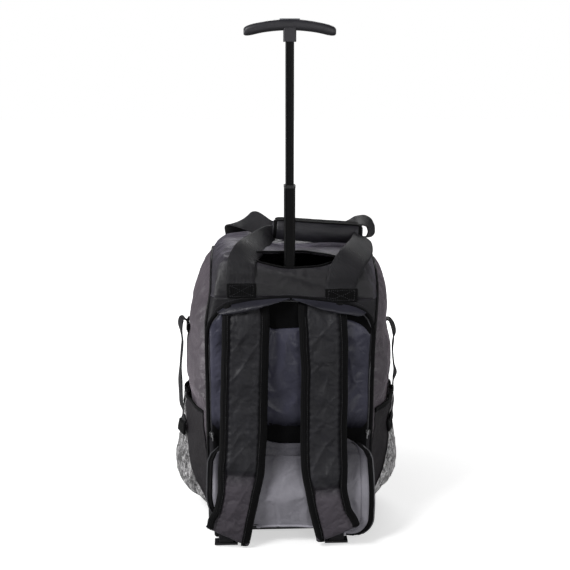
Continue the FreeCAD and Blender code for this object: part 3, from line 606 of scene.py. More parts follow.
def sheet(name, points, thick, materials, flip=False, uv=None, back_material=0):
    """A closed sheet: front face at a grid of points, back face behind it, rounded rim."""
    front, thick = points * MM, thick * MM
    rows, cols = front.shape[:2]
    normals = grid_normals(front) * (-1 if flip else 1)
    back = front - normals * thick
    if uv is None:
        uv = np.zeros((rows, cols, 2))
        uv[1:, :, 0] = np.cumsum(np.linalg.norm(np.diff(front, axis=0), axis=2), axis=0)
        uv[:, 1:, 1] = np.cumsum(np.linalg.norm(np.diff(front, axis=1), axis=2), axis=1)
    else:
        uv = uv * MM
    count = rows * cols
    faces = [f[::-1] if flip else f for f in grid_faces(rows, cols)]
    face_materials = [0] * len(faces) + [back_material] * len(faces)
    faces += [tuple(i + count for i in f[::-1]) for f in faces]
    # rim edges: two grid indices, and whether the edge faces the other way
    rim = []
    for i in range(rows - 1):
        rim.append((i * cols, (i + 1) * cols, True))
        rim.append((i * cols + cols - 1, (i + 1) * cols + cols - 1, False))
    for j in range(cols - 1):
        rim.append((j, j + 1, False))
        rim.append(((rows - 1) * cols + j, (rows - 1) * cols + j + 1, True))
    middle = (front + back) / 2
    rim_points, rim_uvs, rim_index = [], [], {}

    def rim_vertex(k):
        """The vertex that stands out from the sheet's edge between front and back."""
        if k not in rim_index:
            i, j = divmod(k, cols)
            inner = middle[min(max(i, 1), rows - 2), min(max(j, 1), cols - 2)]
            away = middle[i, j] - inner
            length = np.linalg.norm(away)
            away = away / length if length > 1e-9 else away
            rim_index[k] = 2 * count + len(rim_points)
            rim_points.append(middle[i, j] + away * thick * 0.42)
            rim_uvs.append(uv[i, j])
        return rim_index[k]

    for start, end, other_way in rim:
        rim_start, rim_end = rim_vertex(start), rim_vertex(end)
        quads = [(start, end, rim_end, rim_start),
                 (rim_start, rim_end, end + count, start + count)]
        faces += quads if other_way != flip else [q[::-1] for q in quads]
        face_materials += [0, back_material]
    flat_uv = uv.reshape(-1, 2)
    return mesh_from(
        name, np.concatenate([front.reshape(-1, 3), back.reshape(-1, 3), np.array(rim_points)]),
        faces, materials, uvs=np.concatenate([flat_uv, flat_uv, np.array(rim_uvs)]),
        face_materials=face_materials)


def tube_uv(section, run):
    """UVs of a tube: U round its section, V along it."""
    grid = np.broadcast_arrays(run_length(section)[None], run[:, None])
    return np.stack(grid, axis=2).reshape(-1, 2)


def sweep(name, path, section, side, material, caps=1):
    """Sweeps a section of (u, v) along a path; u runs along side, v along side x path."""
    path, section = np.asarray(path, float) * MM, np.asarray(section, float) * MM
    along = tangents(path)
    side = np.asarray(side, float)
    side = unit_rows(side - along * np.sum(side * along, axis=1, keepdims=True))
    out = np.cross(side, along)
    verts = path[:, None] + side[:, None] * section[:, :1] + out[:, None] * section[:, 1:]
    return mesh_from(name, verts.reshape(-1, 3), tube_faces(len(path), len(section), caps),
                     material, uvs=tube_uv(section, run_length(path)))


def stitches(name, path, normals, body, pitch=4.2, length=2.8, radius=0.42):
    """A row of short rounded dashes of thread that stand on the cloth along a path."""
    path = path * MM
    pitch, length, radius = pitch * MM, length * MM, radius * MM
    run = run_length(path)
    count = max(2, int(run[-1] / pitch))
    at = (np.arange(count) + 0.5) * run[-1] / count
    verts, faces = [], []
    for centre, start, end, out in zip(
            resample(path, run, at), resample(path, run, at - length / 2),
            resample(path, run, at + length / 2), resample(normals, run, at)):
        along = end - start
        size = np.linalg.norm(along)
        if size < 1e-9:
            continue
        along /= size
        out = out - along * np.dot(out, along)
        out /= max(np.linalg.norm(out), 1e-9)
        side = np.cross(along, out)
        first = len(verts)
        # place along the dash, share of the radius, lift off the cloth
        for place, share, lift in ((-0.5, 0.25, -0.3), (-0.28, 0.9, 0.35),
                                   (0.28, 0.9, 0.35), (0.5, 0.25, -0.3)):
            middle = centre + along * size * place + out * radius * lift
            for k in range(4):
                a = math.pi / 4 + k * math.pi / 2
                verts.append(middle + side * radius * share * math.cos(a)
                             + out * radius * share * math.sin(a))
        faces += [tuple(first + i for i in f) for f in tube_faces(4, 4)]
    ob = mesh_from(name, verts, faces, MAT["thread"])
    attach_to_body(ob, body)


def stitch_lines(name, points, normals, lines, steps):
    """Rows of stitches across a grid; each line is (row, column) to (row, column)."""
    for number, (row0, col0, row1, col1) in enumerate(lines):
        cells = [(int(round(row0 + (row1 - row0) * t)), int(round(col0 + (col1 - col0) * t)))
                 for t in np.linspace(0, 1, steps)]
        outs = np.array([normals[cell] for cell in cells])
        path = np.array([points[cell] for cell in cells]) + outs * 0.4
        stitches("%s_stitch_%d" % (name, number), path, outs, "bag", pitch=3.4, length=2.4,
                 radius=0.3)


def coil(name, path, normals, sides, width=2.6, pitch=2.1, height=1.5):
    """A row of zip coil links along a path; normals and sides may be single vectors."""
    run = run_length(path)
    count = int(run[-1] / pitch)
    at = (np.arange(count) + 0.5) * run[-1] / count
    path, normals, sides = (resample(np.broadcast_to(rows, path.shape), run, at)
                            for rows in (path, normals, sides))
    verts, faces = [], []
    for centre, out, side, along in zip(path, normals, sides,
                                        unit_rows(np.cross(normals, sides))):
        first = len(verts)
        # share of the half width, share of the height, share of the link's length
        for u, v, share in ((-1, 0, 1.0), (-0.75, 0.8, 0.8), (0.75, 0.8, 0.8), (1, 0, 1.0)):
            for t in (-0.38, 0.38):
                verts.append(centre + side * u * width / 2 + out * v * height
                             + along * t * pitch * share)
        for a in range(first, first + 6, 2):
            faces.append((a, a + 1, a + 3, a + 2))
        for link in ((0, 2, 4, 6), (7, 5, 3, 1), (6, 7, 1, 0)):
            faces.append(tuple(first + i for i in link))
    return mesh_from(name, np.array(verts) * MM, faces, MAT["coil_highlight"], smooth=False)


def join(name, *parts):
    """Joins objects of one material each into one."""
    bm = bmesh.new()
    layer = bm.loops.layers.uv.new("UVMap")
    materials = []
    for ob in parts:
        material = ob.data.materials[0]
        if material not in materials:
            materials.append(material)
        verts = [bm.verts.new(v.co) for v in ob.data.vertices]
        source = ob.data.uv_layers.active
        for polygon in ob.data.polygons:
            face = bm.faces.new([verts[i] for i in polygon.vertices])
            face.smooth = True
            face.material_index = materials.index(material)
            for loop, index in zip(face.loops, polygon.loop_indices):
                loop[layer].uv = source.data[index].uv
    mesh = bpy.data.meshes.new(name)
    bm.to_mesh(mesh)
    bm.free()
    for ob in parts:
        bpy.data.objects.remove(ob, do_unlink=True)
    return new_object(name, mesh, materials)


def ribbon(name, points, sides, widths, thick=2.3, count=150, seed=0.0, cup=1.2, wobble=0.5):
    """A webbing band along points, its width direction turning through the given sides."""
    points = np.asarray(points, float)
    run = run_length(points)
    path = catmull(points, count)
    at = np.linspace(0, run[-1], count)
    side = resample(np.asarray(sides, float), run, at)
    for _ in range(6):
        side[1:-1] = (side[:-2] + side[1:-1] * 2 + side[2:]) / 4
    side = unit_rows(side)
    width = np.interp(at, run, widths)
    along = tangents(path)
    side = unit_rows(side - along * np.sum(side * along, axis=1, keepdims=True))
    out = np.cross(side, along)
    rows = 13
    grid = np.zeros((rows, count, 3))
    for a in range(rows):
        v = -1 + 2 * a / (rows - 1)
        for i in range(count):
            bow = (cup * (1 - v * v) * math.sin(math.pi * min(1, max(0, at[i] / run[-1])))
                   + wobble * ripple(at[i] * 0.03, v * 0.8, seed))
            grid[a, i] = path[i] + side[i] * v * width[i] / 2 + out[i] * bow
    uv = np.zeros((rows, count, 2))
    uv[:, :, 0] = np.linspace(-1, 1, rows)[:, None] * width[None] / 2
    uv[:, :, 1] = at[None]
    ob = sheet(name, grid, thick, MAT["web"], uv=uv)
    return ob


# =============================================================================
# Cloth simulation
# =============================================================================
CLOTH_FRAMES = 14
CLOTH = dict(quality=5, mass=0.25, air_damping=2.0, tension_stiffness=15.0,
             compression_stiffness=15.0, shear_stiffness=7.5, tension_damping=8.0,
             compression_damping=8.0, use_pressure=True)


def drape(verts, faces, pin, pressure, shrink, cap, bend):
    """Settles an open sheet held at its pins; each point moves at most cap metres."""
    verts = np.asarray(verts, float)
    mesh = bpy.data.meshes.new("drape")
    mesh.from_pydata(verts.tolist(), [], faces)
    ob = new_object("drape", mesh, [])
    group = ob.vertex_groups.new(name="pin")
    pin = np.round(np.asarray(pin, float), 2)
    for weight in np.unique(pin):
        if weight > 0:
            group.add([int(i) for i in np.nonzero(pin == weight)[0]], float(weight), "REPLACE")
    modifier = ob.modifiers.new("Cloth", "CLOTH")
    settings = modifier.settings
    for key, value in CLOTH.items():
        setattr(settings, key, value)
    settings.bending_stiffness = bend
    settings.uniform_pressure_force = pressure
    settings.shrink_min = shrink
    settings.shrink_max = shrink
    settings.effector_weights.gravity = 0.0
    settings.vertex_group_mass = "pin"
    modifier.collision_settings.use_collision = False
    modifier.collision_settings.use_self_collision = False
    modifier.point_cache.frame_start = 1
    modifier.point_cache.frame_end = CLOTH_FRAMES
    scene = bpy.context.scene
    for step in range(1, CLOTH_FRAMES + 1):
        scene.frame_set(step)
    settled = ob.evaluated_get(bpy.context.evaluated_depsgraph_get()).data
    co = np.zeros(len(verts) * 3)
    settled.vertices.foreach_get("co", co)
    co = co.reshape(-1, 3)
    scene.frame_set(1)
    bpy.data.objects.remove(ob, do_unlink=True)
    # an exploded simulation leaves the sheet as it was drawn
    if not np.isfinite(co).all():
        return verts
    move = co - verts
    length = np.linalg.norm(move, axis=1, keepdims=True)
    return verts + move * (cap * np.tanh(length / cap)) / np.maximum(length, 1e-9)


def drape_grid(points, pin, **settings):
    """drape() for a grid of points in millimetres."""
    rows, cols = points.shape[:2]
    out = drape(points.reshape(-1, 3) * MM, grid_faces(rows, cols), pin.reshape(-1), **settings)
    return out.reshape(rows, cols, 3) / MM


def rim_pin(rows, cols, held, fade):
    """Pin weights of 1 over the held rows at the rim, fading to none further in."""
    i = np.minimum(np.arange(rows), np.arange(rows)[::-1])[:, None]
    j = np.minimum(np.arange(cols), np.arange(cols)[::-1])[None]
    row_pin = np.clip(1 - (i - held) / fade, 0, 1)
    col_pin = np.clip(1 - (j - held) / fade, 0, 1)
    return np.maximum(row_pin * np.ones_like(col_pin), col_pin * np.ones_like(row_pin))


# =============================================================================
# The bag's soft form
# =============================================================================
HALF_SIZE = [187, 140]
# right half of the plan outline from back to front, as shares of the half sizes: x, y
OUTLINE = [(0, -1.0), (0.32, -1.0), (0.62, -0.998), (0.775, -0.982), (0.825, -0.935),
           (0.885, -0.78), (0.945, -0.52), (0.985, -0.25), (1.0, 0.03), (0.99, 0.32),
           (0.945, 0.6), (0.86, 0.82), (0.72, 0.95), (0.5, 0.995), (0.25, 1.0), (0, 1.0)]
# z, half width, half depth, from the floor panel up
PROFILE = [(28.2, 2, 2), (28.0, 90, 70), (28.0, 132, 102), (29.5, 149, 116), (38, 158, 129),
           (56, 165, 135.5), (100, 174, 139.5), (160, 182, 140), (240, 187, 140),
           (310, 187, 140), (380, 184, 140), (435, 178, 140), (475, 169, 138),
           (503, 158, 129), (522, 144, 113), (532, 124, 90), (536, 92, 58),
           (536.5, 50, 32), (536, 2, 2)]
SEAM_X = 150
# the form is open below the back, behind and under these
NOTCH_Y, NOTCH_TOP = -88, 92
BASE_TOP = 62
DOOR_HALF, DOOR_FOOT, DOOR_TOP, DOOR_CORNER = 118, 92, 430, 36
ROUND, TALL = ((340, 190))


def outline_points(count):
    """The closed outline as evenly spaced points, as shares of the half sizes."""
    ring = np.array(OUTLINE + [(-x, y) for x, y in OUTLINE[::-1][1:-1]]) * HALF_SIZE
    size = len(ring)
    dense = []
    for i in range(size):
        dense += spline_span(*(ring[(i + k) % size] for k in (-1, 0, 1, 2)), 20)
    dense = np.array(dense + [dense[0]])
    run = run_length(dense)
    return resample(dense, run, np.linspace(0, run[-1], count, endpoint=False)) / HALF_SIZE


def sag(x, z):
    """The bag sinks a little on its right, most at the shoulder."""
    return -7.0 * ease(-60, 165, x) * ease(330, 470, z)


def seam_pull(x, y, z):
    """How far a panel stands from the form: seam dips, puckers beside them, slow folds."""
    ax = abs(x)
    seam = bell(ax, SEAM_X, 7.0)
    along = (y + z) if abs(y) < 120 else z
    pucker = 0.9 * bell(ax, SEAM_X, 16.0) * ripple(along * 0.085, ax * 0.03,
                                                   3.1 * (1 if x > 0 else -1))
    if ax > SEAM_X:
        # gussets: upright folds and a dent across the middle
        creases = ridge(y * 0.028 + z * 0.006, z * 0.010, 8.0 + (x > 0) * 3)
        folds = (2.6 * ripple(y * 0.013, z * 0.004 + 2.2 * (x > 0), 5.0)
                 + 3.2 * (creases - 0.6) * ease(60, 180, z)
                 + 1.0 * ripple(y * 0.035, z * 0.012, 9.0)
                 - 1.6 * bell(z, 250, 20.0) * bell(y, 0, 90.0))
    elif z > 455:
        # top: a hollow towards the back, and a raised fold at the back edge
        creases = ridge(x * 0.010 + z * 0.035 + y * 0.01, y * 0.03, 4.0)
        folds = (2.8 * ripple(x * 0.016, y * 0.012, 11.0) + 2.4 * (creases - 0.62)
                 + 0.5 * ripple(x * 0.03, y * 0.03 + z * 0.03, 13.0)
                 - 2.6 * bell(x, 0, 95.0) * bell(y, -40, 60.0))
        if y < -90:
            folds += 3.0 * bell(z - 488 + 0.12 * (x - 60), 0, 9.0) * bell(x, 0, 75.0)
    elif y > 60:
        folds = (1.8 * ripple(x * 0.012, z * 0.009, 17.0)
                 + 0.7 * ripple(x * 0.035, z * 0.03, 19.0))
    else:
        folds = 0.9 * ripple(x * 0.015, z * 0.012, 23.0)
    fine = 0.28 * ripple(x * 0.09, z * 0.09, y * 0.09)
    return -1.7 * seam + pucker + folds * (1 - seam * 0.8) + fine


def build_form():
    """The whole bag as one closed surface, to be cut into panels."""
    outline = outline_points(ROUND)
    form = np.zeros((ROUND, TALL, 3))
    for j, (z, half_width, half_depth) in enumerate(catmull(PROFILE, TALL)):
        form[:, j, 0] = outline[:, 0] * half_width
        form[:, j, 1] = outline[:, 1] * half_depth
        form[:, j, 2] = z
    normals = grid_normals(np.concatenate([form[-1:], form, form[:1]], axis=0))[1:-1]
    if normals[ROUND // 4, TALL // 2, 0] < 0:
        normals = -normals
    for i in range(ROUND):
        for j in range(2, TALL - 2):
            form[i, j] += normals[i, j] * seam_pull(*form[i, j])
    form[:, :, 2] += sag(form[:, :, 0], form[:, :, 2])
    bm = bmesh.new()
    verts = [[bm.verts.new(form[i, j] * MM) for j in range(TALL)] for i in range(ROUND)]
    for i in range(ROUND):
        here, there = verts[i], verts[(i + 1) % ROUND]
        for j in range(TALL - 1):
            bm.faces.new((here[j], there[j], there[j + 1], here[j + 1]))
    bm.faces.new([column[0] for column in verts][::-1])
    bm.faces.new([column[-1] for column in verts])
    bmesh.ops.recalc_face_normals(bm, faces=bm.faces)
    bm.normal_update()
    return bm


form_bm = build_form()
form_tree = BVHTree.FromBMesh(form_bm)


def hit(origin, direction):
    """Where a ray meets the form, and the normal there; None when it misses."""
    place, normal, _, _ = form_tree.ray_cast(Vector([c * MM for c in origin]),
                                             Vector(direction))
    return None if place is None else (np.array(place) / MM, np.array(normal))


def face_point(face, x, z, off=0.0):
    """A point off the form's back or front, and the normal there."""
    point, normal = (hit((x, 400 * face, z), (0, -face, 0))
                     or (np.array([x, 139.0 * face, z]), np.array([0, 1.0 * face, 0])))
    return point + normal * off, normal


def back_point(x, z):
    return face_point(BACK, x, z)


def side_point(sx, y, z):
    """A point on the form's side; near its corners the ray is moved in until it hits."""
    for share in (1.0, 0.95, 0.9, 0.85, 0.8, 0.7):
        found = hit((sx * 400, y * share, z), (-sx, 0, 0))
        if found and abs(found[0][0]) > 60:
            point, normal = found
            return np.array([point[0], y, point[2]]), normal
    return np.array([sx * 120.0, y, z]), np.array([sx, 0.0, 0])


def top_point(x, y, off):
    point, normal = (hit((x, y, 800), (0, 0, -1))
                     or (np.array([x, y, 500.0]), np.array([0, 0, 1.0])))
    return point + normal * off, normal


# =============================================================================
# Cutting the form into panels
# =============================================================================


def bisect(point, normal, keep):
    """Cuts the faces whose centre passes keep along a plane."""
    faces = [f for f in form_bm.faces if keep(f.calc_center_median() / MM)]
    geometry = set(faces)
    for face in faces:
        geometry.update(face.edges)
        geometry.update(face.verts)
    bmesh.ops.bisect_plane(form_bm, geom=list(geometry), plane_co=Vector(point) * MM,
                           plane_no=Vector(normal), dist=1e-6)


def on_front(c):
    return c.y > 60 and abs(c.x) < SEAM_X + 0.1


for sx in (-1, 1):
    bisect((SEAM_X * sx, 0, 0), (1, 0, 0), lambda c: True)
bisect((0, NOTCH_Y, 0), (0, 1, 0), lambda c: c.z < 110)
bisect((0, 0, NOTCH_TOP), (0, 0, 1), lambda c: c.y < -60)
bisect((0, 0, BASE_TOP), (0, 0, 1), lambda c: abs(c.x) < SEAM_X + 0.1 and c.y > -90)
for x in (DOOR_HALF, -DOOR_HALF):
    bisect((x, 0, 0), (1, 0, 0), on_front)
for z in (DOOR_FOOT, DOOR_TOP):
    bisect((0, 0, z), (0, 0, 1), on_front)
door_planes = []
for sx in (-1, 1):
    for sz in (-1, 1):
        corner_x = sx * (DOOR_HALF - DOOR_CORNER)
        corner_z = DOOR_FOOT + DOOR_CORNER if sz < 0 else DOOR_TOP - DOOR_CORNER
        for degrees in (15, 30, 45, 60, 75):
            dx = sx * math.cos(math.radians(degrees))
            dz = sz * math.sin(math.radians(degrees))
            point = (corner_x + dx * DOOR_CORNER * 0.99, 0, corner_z + dz * DOOR_CORNER * 0.99)
            door_planes.append((point, (dx, 0, dz)))
            bisect(point, (dx, 0, dz), lambda c: on_front(c) and (c.x - corner_x) * sx > -4
                   and (c.z - corner_z) * sz > -4)


def in_door(c):
    if c.y < 60 or abs(c.x) > DOOR_HALF or not DOOR_FOOT < c.z < DOOR_TOP:
        return False
    return all((c.x - p[0]) * n[0] + (c.z - p[2]) * n[2] < 0 for p, n in door_planes)


# lens-shaped slot in the top behind the back edge
SLOT_CENTRE, SLOT_HALF, SLOT_DEPTH = (2.0, -110.0), 86.0, 16.0


def lens_point(k, depth):
    t = -1 + 2 * k / 20
    return (SLOT_CENTRE[0] + SLOT_HALF * t,
            SLOT_CENTRE[1] + depth * (1 - abs(t) ** 2.2) ** 0.85)


lens = np.array([lens_point(k, -SLOT_DEPTH) for k in range(21)]
                + [lens_point(k, SLOT_DEPTH - 1.0) for k in range(19, 0, -1)])
lens_planes = []
for start, end in zip(lens, np.roll(lens, -1, axis=0)):
    edge = end - start
    normal = np.array([edge[1], -edge[0]]) / np.linalg.norm(edge)
    if np.dot(normal, start - np.array(SLOT_CENTRE)) < 0:
        normal = -normal
    lens_planes.append((start, normal))


def near_slot(c):
    return c.z > 440 and abs(c.x) < 96 and -150 < c.y < -80


def in_lens(c):
    return all((c.x - p[0]) * n[0] + (c.y - p[1]) * n[1] < 0.3 for p, n in lens_planes)


for point, normal in lens_planes:
    bisect((*point, 0), (*normal, 0), lambda c: near_slot(c) and abs(c.x - point[0]) < 14
           and abs(c.y - point[1]) < 14)


def region(c):
    """The panel a face belongs to by its centre; None where the form is open."""
    if c.y < NOTCH_Y and c.z < NOTCH_TOP:
        return None
    if c.x > SEAM_X:
        return "gusset_right"
    if c.x < -SEAM_X:
        return "gusset_left"
    if near_slot(c) and in_lens(c):
        return None
    if in_door(c):
        return "door"
    if c.z < BASE_TOP:
        return "base"
    if c.y > 0 and c.z < 470:
        return "front"
    if c.y < 0 and c.z < 455 + sag(c.x, 455):
        return "back"
    return "top"


def seam_points(sx):
    """The gusset seam's points from the back foot over the top to the front."""
    points = [np.array(v.co) / MM for v in form_bm.verts
              if abs(v.co.x / MM - SEAM_X * sx) < 0.01]
    points = [p for p in points if not (p[1] < -60 and p[2] < 96) and p[2] > 36
              and not (p[1] < 40 and p[2] < 60)]
    points.sort(key=lambda p: math.atan2(p[1], p[2] - 280))
    return points


seam_loops = {sx: seam_points(sx) for sx in (-1, 1)}
groups = {}
for face in form_bm.faces:
    panel = region(face.calc_center_median() / MM)
    if panel:
        groups.setdefault(panel, []).append(face)


def cloth_pin(c, on_rim):
    """How firmly the shell is held: at seams, under sewn-on parts and behind the pockets."""
    if on_rim:
        return 1.0
    ax = abs(c.x)
    if ax > SEAM_X:
        hold = max(0.0, 1 - ease(238, 262, c.z), 1 - ease(151, 156, ax))
        if abs(c.y) < 26:
            hold = max(hold, ease(368, 378, c.z) * (1 - ease(408, 416, c.z)))
    else:
        hold = 0.0
        for riser_x in (-86, 95):
            hold = max(hold, (1 - ease(28, 36, abs(c.x - riser_x))) * ease(110, 125, abs(c.y)))
        if -134 < c.y < -60 and ax < 98:
            hold = max(hold, 0.9)
        hold = max(hold, 1 - ease(4, 14, SEAM_X - ax))
        if c.y < 0:
            hold = max(hold, 1 - ease(462, 474, c.z))
    return min(1.0, hold)


def shell_piece(name, faces, material, cloth):
    """One panel as its own thick mesh, draped first when cloth settings are given."""
    bm = bmesh.new()
    copies = {}
    for face in faces:
        for v in face.verts:
            if v not in copies:
                copies[v] = bm.verts.new(v.co)
        # guards against two cut faces that share the same corners
        try:
            bm.faces.new([copies[v] for v in face.verts]).smooth = True
        except ValueError:
            pass
    bmesh.ops.remove_doubles(bm, verts=bm.verts, dist=2e-5)
    if cloth:
        bm.verts.ensure_lookup_table()
        bm.verts.index_update()
        settled = drape(np.array([v.co for v in bm.verts]),
                        [[v.index for v in f.verts] for f in bm.faces],
                        [cloth_pin(v.co / MM, v.is_boundary) for v in bm.verts], **cloth)
        for v, place in zip(bm.verts, settled):
            v.co = place
    mesh = bpy.data.meshes.new(name)
    bm.to_mesh(mesh)
    bm.free()
    ob = leaning_object(name, mesh, material)
    thicken(ob, 3.0).use_even_offset = False
    return apply_all(ob)


# panel: material, the CAD piece it replaces
PANELS = {"gusset_left": ("side", "left_gusset"), "gusset_right": ("side", "right_gusset"),
          "top": ("top", "top_panel"), "back": ("shell", "back_panel"),
          "front": ("shell", "front_panel"), "base": ("shell", "base_panel"),
          "door": ("shell", "front_door")}
PANEL_CLOTH = {"gusset_left": dict(pressure=2.0, shrink=-0.035, cap=0.006, bend=0.8),
               "gusset_right": dict(pressure=1.0, shrink=-0.035, cap=0.006, bend=0.8),
               "top": dict(pressure=-0.5, shrink=-0.014, cap=0.003, bend=2.0)}
for panel, (material, node) in PANELS.items():
    ob = shell_piece("body_" + panel, groups[panel], MAT[material], PANEL_CLOTH.get(panel))
    attach(ob, "door" if panel == "door" else "bag",
           "fabric_side" if material == "side" else "fabric_black", node)
form_bm.free()


def build_piping(side, sx):
    """A cord along the gusset seam, with a second, thinner cord beside it."""
    loop = seam_loops[sx][:1]
    for point in seam_loops[sx][1:]:
        if np.linalg.norm(point - loop[-1]) > 5.0:
            loop.append(point)
    loop = np.array(loop)
    out = np.cross(tangents(loop), X_AXIS)
    out *= np.sign(out[:, 1] * loop[:, 1] * 1.6 + out[:, 2] * (loop[:, 2] - 280))[:, None]
    cord = sweep(side + "_piping_cord", catmull(loop + out * 1.9, 260), oval(2.5, 2.5),
                 X_AXIS, MAT["pipe"])
    beside = loop + out * 0.8 + np.array([-5.4 * sx, 0, 0])
    edge = sweep(side + "_piping_edge", catmull(beside, 260), oval(1.95, 1.3, 10), X_AXIS,
                 MAT["bind"])
    attach(join(side + "_piping_seam", cord, edge), "bag", "piping_black", side + "_piping")


for side, sx in SIDES:
    build_piping(side, sx)

# bound edge round the slot
welt = catmull([top_point(x, y, 0.6)[0] for x, y in np.vstack([lens, lens[:1]])], 240)
attach(sweep("slot_welt", welt, oval(2.0, 1.8, 10), (0, 0, 1), MAT["bind"], caps=0),
       "bag", "fabric_black")

# =============================================================================
# Strap bay on the back: arch lip, zip, lining, folded lining at the top
# =============================================================================
# the arch's line from the left foot to the right foot: x, z before the bag sags
ARCH = [(-147.5, 196), (-148.5, 240), (-149, 300), (-149, 360), (-148, 386), (-143.5, 408),
        (-133, 425), (-117, 437), (-95, 443.5), (-60, 449), (-20, 452), (15, 452), (55, 449),
        (92, 444.5), (114, 438.5), (131, 427), (142.5, 409), (148, 384), (149, 356),
        (149, 300), (148.5, 240), (147.5, 196)]


def arch_frame():
    """Points of the arch on the back, their normals and the directions into the bay."""
    line = catmull([(x, 0, z + 3.5 * ease(380, 440, z) + sag(x, z) * 0.9) for x, z in ARCH],
                   220)
    points, normals, inwards = [], [], []
    for (x, _, z), along in zip(line, tangents(line)):
        point, normal = back_point(x, z)
        inward = np.cross(np.array([0, -1.0, 0]), along)
        if np.dot(inward, np.array([0, 0, 320.0]) - np.array([x, 0, z])) < 0:
            inward = -inward
        points.append(point)
        normals.append(normal)
        inwards.append(inward)
    return np.array(points), np.array(normals), np.array(inwards)


arch, arch_out, arch_in = arch_frame()
lip = sweep("arch_lip", catmull(arch + arch_out * 2.2 + arch_in * 1.5, 220),
            oval(3.6, 2.8, 14), arch_in, MAT["bind"])
tape = sweep("arch_tape", catmull(arch + arch_out * 1.6 + arch_in * 4.6, 220),
             band_section(5.6, 1.3), arch_in, MAT["tape"])
attach(join("arch_zip_tape", lip, tape), "bag", "zip_tape", "stow_zip_tape_bag")
attach(coil("arch_zip_coil", arch + arch_out * 2.3 + arch_in * 6.0, arch_out, arch_in,
            width=2.2), "bag", "zip_tape")
stitches("arch_stitches", (arch + arch_out * 1.3 - arch_in * 5.5)[70:150], arch_out[70:150],
         "bag")

arch_upper = arch[arch[:, 2] > 330]
arch_upper = arch_upper[np.argsort(arch_upper[:, 0])]


def arch_top(x):
    """Height of the arch's inner edge above x."""
    return float(np.interp(x, arch_upper[:, 0], arch_upper[:, 2])) - 6.5


def build_lining():
    """The padded lining of the bay, lower under the opening at its top."""
    cols, rows = ((150, 130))
    points = np.zeros((cols, rows, 3))
    for i in range(cols):
        x = -143.0 + 284.5 * i / (cols - 1)
        top = arch_top(max(-139.0, min(139.0, x))) - 22.0 * ease(84, 100, x)
        opening = bell(x, -6, 39.0, power=10)
        top = top * (1 - opening) + min(top, 398 + 0.05 * (x + 20)) * opening
        u = min(1.0, max(-1.0, (x + 0.75) / 142.25))
        foot = 207 - 12 * abs(u) ** 1.5 + 2.0 * ripple(x * 0.03, 3, 8)
        for j in range(rows):
            w = j / (rows - 1)
            z = foot + (top - foot) * w
            point, normal = back_point(x, z)
            inside = max((1 - abs(u) ** 8) * (1 - (2 * w - 1) ** 10), 0)
            creases = ridge(x * 0.024 + z * 0.014, z * 0.016 - x * 0.008, 44)
            fold = (2.2 * ripple(x * 0.018, z * 0.010, 41) + 2.4 * (creases - 0.62)
                    + 0.9 * ripple(x * 0.055, z * 0.045, 47))
            tuck = -8.5 * bell(z, foot, 20.0)
            points[i, j] = point + normal * (0.8 + 5.2 * inside ** 0.7 + fold * inside
                                             + tuck * 0.6)
            points[i, j, 2] = z + tuck * 0.2
    points = drape_grid(points, rim_pin(cols, rows, held=1, fade=5), pressure=1.6,
                        shrink=-0.018, cap=0.0032, bend=1.2)
    attach(sheet("bay_lining", points, 2.4, MAT["lining"]), "bag", "lining_dark", "back_pad")


def build_shade_sheet(name, cols, rows, x0, width, z0, top_of, off, rough, grain, seed, thick):
    """Near-black sheet just off the back, painted shade; rough is its ripple's height, grain its
    (x, z) scale.
    """
    points = np.zeros((cols, rows, 3))
    for i in range(cols):
        x = x0 + width * i / (cols - 1)
        for j in range(rows):
            z = z0 + (top_of(x) - z0) * j / (rows - 1)
            point, normal = back_point(x, z)
            points[i, j] = point + normal * (off + rough * ripple(x * grain[0], z * grain[1],
                                                                  seed))
    attach(sheet(name, points, thick, MAT["dark"]), "bag", "fabric_black")


def build_crescent(side, x0, x1, seed):
    """A crescent of lining turned out over the top of a strap."""
    cols, rows = 70, 18
    points = np.zeros((cols, rows, 3))
    for i in range(cols):
        t = i / (cols - 1)
        x = x0 + (x1 - x0) * t
        top = arch_top(x) + 6.5
        # share of the way from the crescent's full end
        inward = t if side == "left" else 1 - t
        depth = (15.5 * math.sin(math.pi * inward ** 0.55) ** 0.9
                 * (1 + 0.12 * ripple(t * 6, seed, 0)) + 0.6)
        fullness = math.sin(math.pi * min(max(t, 0.02), 0.98)) ** 0.25
        y = back_point(x, top)[0][1]
        for j in range(rows):
            v = j / (rows - 1)
            bulge = 2.0 + 18.5 * math.sin(v * math.pi * 0.52) ** 0.8 * fullness
            wrinkle = (0.9 * ripple(x * 0.05, v * 2.0, seed)
                       + 0.5 * ripple(x * 0.15, v * 3.0, seed + 5))
            points[i, j] = (x, y - bulge - wrinkle * v,
                            top - depth * v + 1.4 * (1 - math.cos(v * math.pi)) * 0.4)
    # its satin is a darker copy of the lining's: painted shade
    ob = sheet(side + "_bay_crescent", points, 1.6, MAT["eyelid"], flip=True)
    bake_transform(ob)


build_lining()
# painted shade: near-black sheets in the dark opening under the arch and in the gap above the
# flap
build_shade_sheet("bay_shade_sheet_top", cols=90, rows=16, x0=-60, width=202, z0=378,
           top_of=lambda x: arch_top(min(x, 137)) + 6, off=0.5, rough=0.4, grain=(0.08, 0.08),
           seed=2, thick=0.35)
build_shade_sheet("bay_shade_sheet_foot", cols=60, rows=10, x0=-140, width=280, z0=170,
           top_of=lambda x: 240, off=0.9, rough=0.5, grain=(0.05, 0.08), seed=7, thick=0.5)
build_crescent("left", x0=-129, x1=-2, seed=3)
build_crescent("right", x0=3, x1=128, seed=9)

